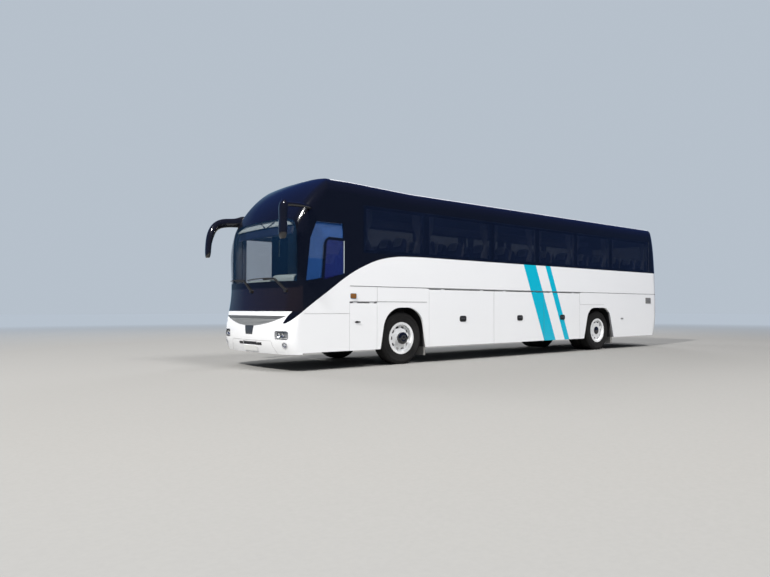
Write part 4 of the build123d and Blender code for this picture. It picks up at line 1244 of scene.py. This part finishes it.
def roof_details():
    """Fans of the cooling unit, hatch levers and the roof's joints."""
    guards, wells, joints, levers = shapes(4)
    boxes = solids("roof_unit")
    unit = max(boxes, key=lambda box: box[1].x - box[0].x)
    for low, high in boxes:
        length = high.x - low.x
        if (low, high) == unit:
            for share in (0.2, 0.4, 0.6, 0.8):
                fan(guards, wells, Vector((low.x + length * share, 0, high.z)))
            continue
        for side in (1, -1):
            spot = Vector(((low.x + high.x) / 2 + side * length * 0.36, 0, high.z - 0.001))
            levers.plaque(spot, (0, 0, 1), (0.03, 0.16), 0.012, 0.01)
    for ahead in (0.9, -1.0, -2.9, -4.8, -6.7, -8.6):
        joints.line(on_roof, [(ahead, -0.95), (ahead, 0.95)], 0.06, 0.012, 0.002)
    for y in (0.95, -0.95):
        joints.line(on_roof, [(0.9, y), (-9.4, y)], 0.2, 0.014, 0.003)
    guards.piece("unit_fan_guards", "vent_grey", "roof_grey")
    wells.piece("unit_fan_wells", "black_plastic", "black_plastic")
    joints.piece("roof_joints", "seam_light", "rubber")
    levers.piece("hatch_levers", "vent_grey", "roof_grey")


roof_details()


# Stage: floor, light and camera

PHOTO_WIDTH = 770
FOCAL_PIXELS = 657.12
CENTRE_SHIFT_PIXELS = 40
camera_place = Vector((front_axle + 8.4507, 11.3014, 1.1042))
camera_yaw = math.radians(-131.952)
camera_pitch = math.radians(1.726)
BACKDROP = (0.47, 0.53, 0.6)
FILL = (0.385, 0.395, 0.415)
SKY_LOW = (0.032, 0.07, 0.19)
SKY_HIGH = (0.008, 0.03, 0.17)
SKY_GLOW = (0.42, 0.66, 0.8)


def aimed(name, data, place, ahead):
    """A camera or light at a place, looking along a direction."""
    made = bpy.data.objects.new(name, data)
    show(made)
    made.location = place
    made.rotation_mode = "QUATERNION"
    made.rotation_quaternion = ahead.to_track_quat("-Z", "Y")
    return made


def make_camera():
    data = bpy.data.cameras.new("camera")
    data.sensor_width = 36.0
    data.lens = data.sensor_width * FOCAL_PIXELS / PHOTO_WIDTH
    data.shift_x = -CENTRE_SHIFT_PIXELS / PHOTO_WIDTH
    data.clip_end = 400
    level_share = math.cos(camera_pitch)
    ahead = Vector((math.cos(camera_yaw) * level_share, math.sin(camera_yaw) * level_share,
                    math.sin(camera_pitch)))
    bpy.context.scene.camera = aimed("camera", data, camera_place, ahead)


def area_light(name, place, size, power, colour, mirrored=False):
    """A round soft light toward the coach; only a mirrored one shows in glossy surfaces."""
    data = bpy.data.lights.new(name, "AREA")
    data.shape = "DISK"
    data.size = size
    data.energy = power
    data.color = colour
    light = aimed(name, data, place, Vector((0, 0, 1.5)) - Vector(place))
    light.visible_glossy = mirrored


def make_floor():
    """A pale grey floor that fades into the backdrop's colour far from the coach."""
    made = Finish("studio_floor")
    x, y, _ = made.split("Object")
    distance = made.math("SQRT", made.math("ADD", made.both(x, x), made.both(y, y)))
    fade = made.math("DIVIDE", made.math("SUBTRACT", distance, 12.0), 24.0, clamp=True)
    fade = made.both(fade, made.node("ShaderNodeLightPath").outputs["Is Camera Ray"])
    grey = made.mix(made.span(made.noise(30.0, 6.0), 0.2, 0.8), (0.225, 0.222, 0.215), (0.265, 0.262, 0.252))
    made.set(Base_Color=made.mix(fade, grey, (0, 0, 0)), Roughness=0.9, Specular_IOR_Level=0.1)
    made.set(Emission_Color=BACKDROP, Emission_Strength=fade)
    shape = Shape()
    reach = 120.0
    shape.grid(lambda s, t: Vector(((s - 0.5) * 2 * reach, (t - 0.5) * 2 * reach, floor_z)), 8, 8)
    shape.plain("studio_floor", "studio_floor")


def make_world():
    """An even fill for light, a deep blue sky for reflections and the plain backdrop for the camera."""
    world = bpy.data.worlds.new("studio")
    bpy.context.scene.world = world
    made = Nodes(world)
    x, y, z = made.split("Generated")
    sky = made.mix(made.ramp(z, From_Min=0.0, From_Max=0.6), SKY_LOW, SKY_HIGH)
    # a glow low in the sky on the right and aft
    glow = made.both(made.ramp(z, From_Min=0.42, From_Max=0.05), made.ramp(y, From_Min=-0.25, From_Max=-0.9))
    sky = made.mix(made.both(glow, made.ramp(x, From_Min=0.35, From_Max=-0.3)), sky, SKY_GLOW)
    ray = made.node("ShaderNodeLightPath").outputs

    def joined(kind, *values):
        node = made.node(kind)
        for socket, value in zip(node.inputs, values):
            made.feed(socket, value)
        return node.outputs[0]

    fill, mirrored, plain = (joined("ShaderNodeBackground", colour)
                             for colour in ((*FILL, 1), sky, (*BACKDROP, 1)))
    lit = joined("ShaderNodeMixShader", ray["Is Glossy Ray"], fill, mirrored)
    seen = joined("ShaderNodeMixShader", ray["Is Camera Ray"], lit, plain)
    made.feed(made.tree.nodes["World Output"].inputs[0], seen)


make_floor()
make_world()
area_light("key", (nose + 20, 7, 27), 2.5, 17500, (1.0, 0.98, 0.95), mirrored=True)
area_light("side", (0, 19, 28), 9, 8200, (1.0, 0.99, 0.98))
area_light("back", (tail - 12, -14, 14), 8, 2600, (0.97, 0.98, 1.0))
area_light("far_side", (6, -24, 18), 9, 3400, (0.98, 0.99, 1.0))
make_camera()
bpy.context.scene.view_settings.view_transform = "Standard"
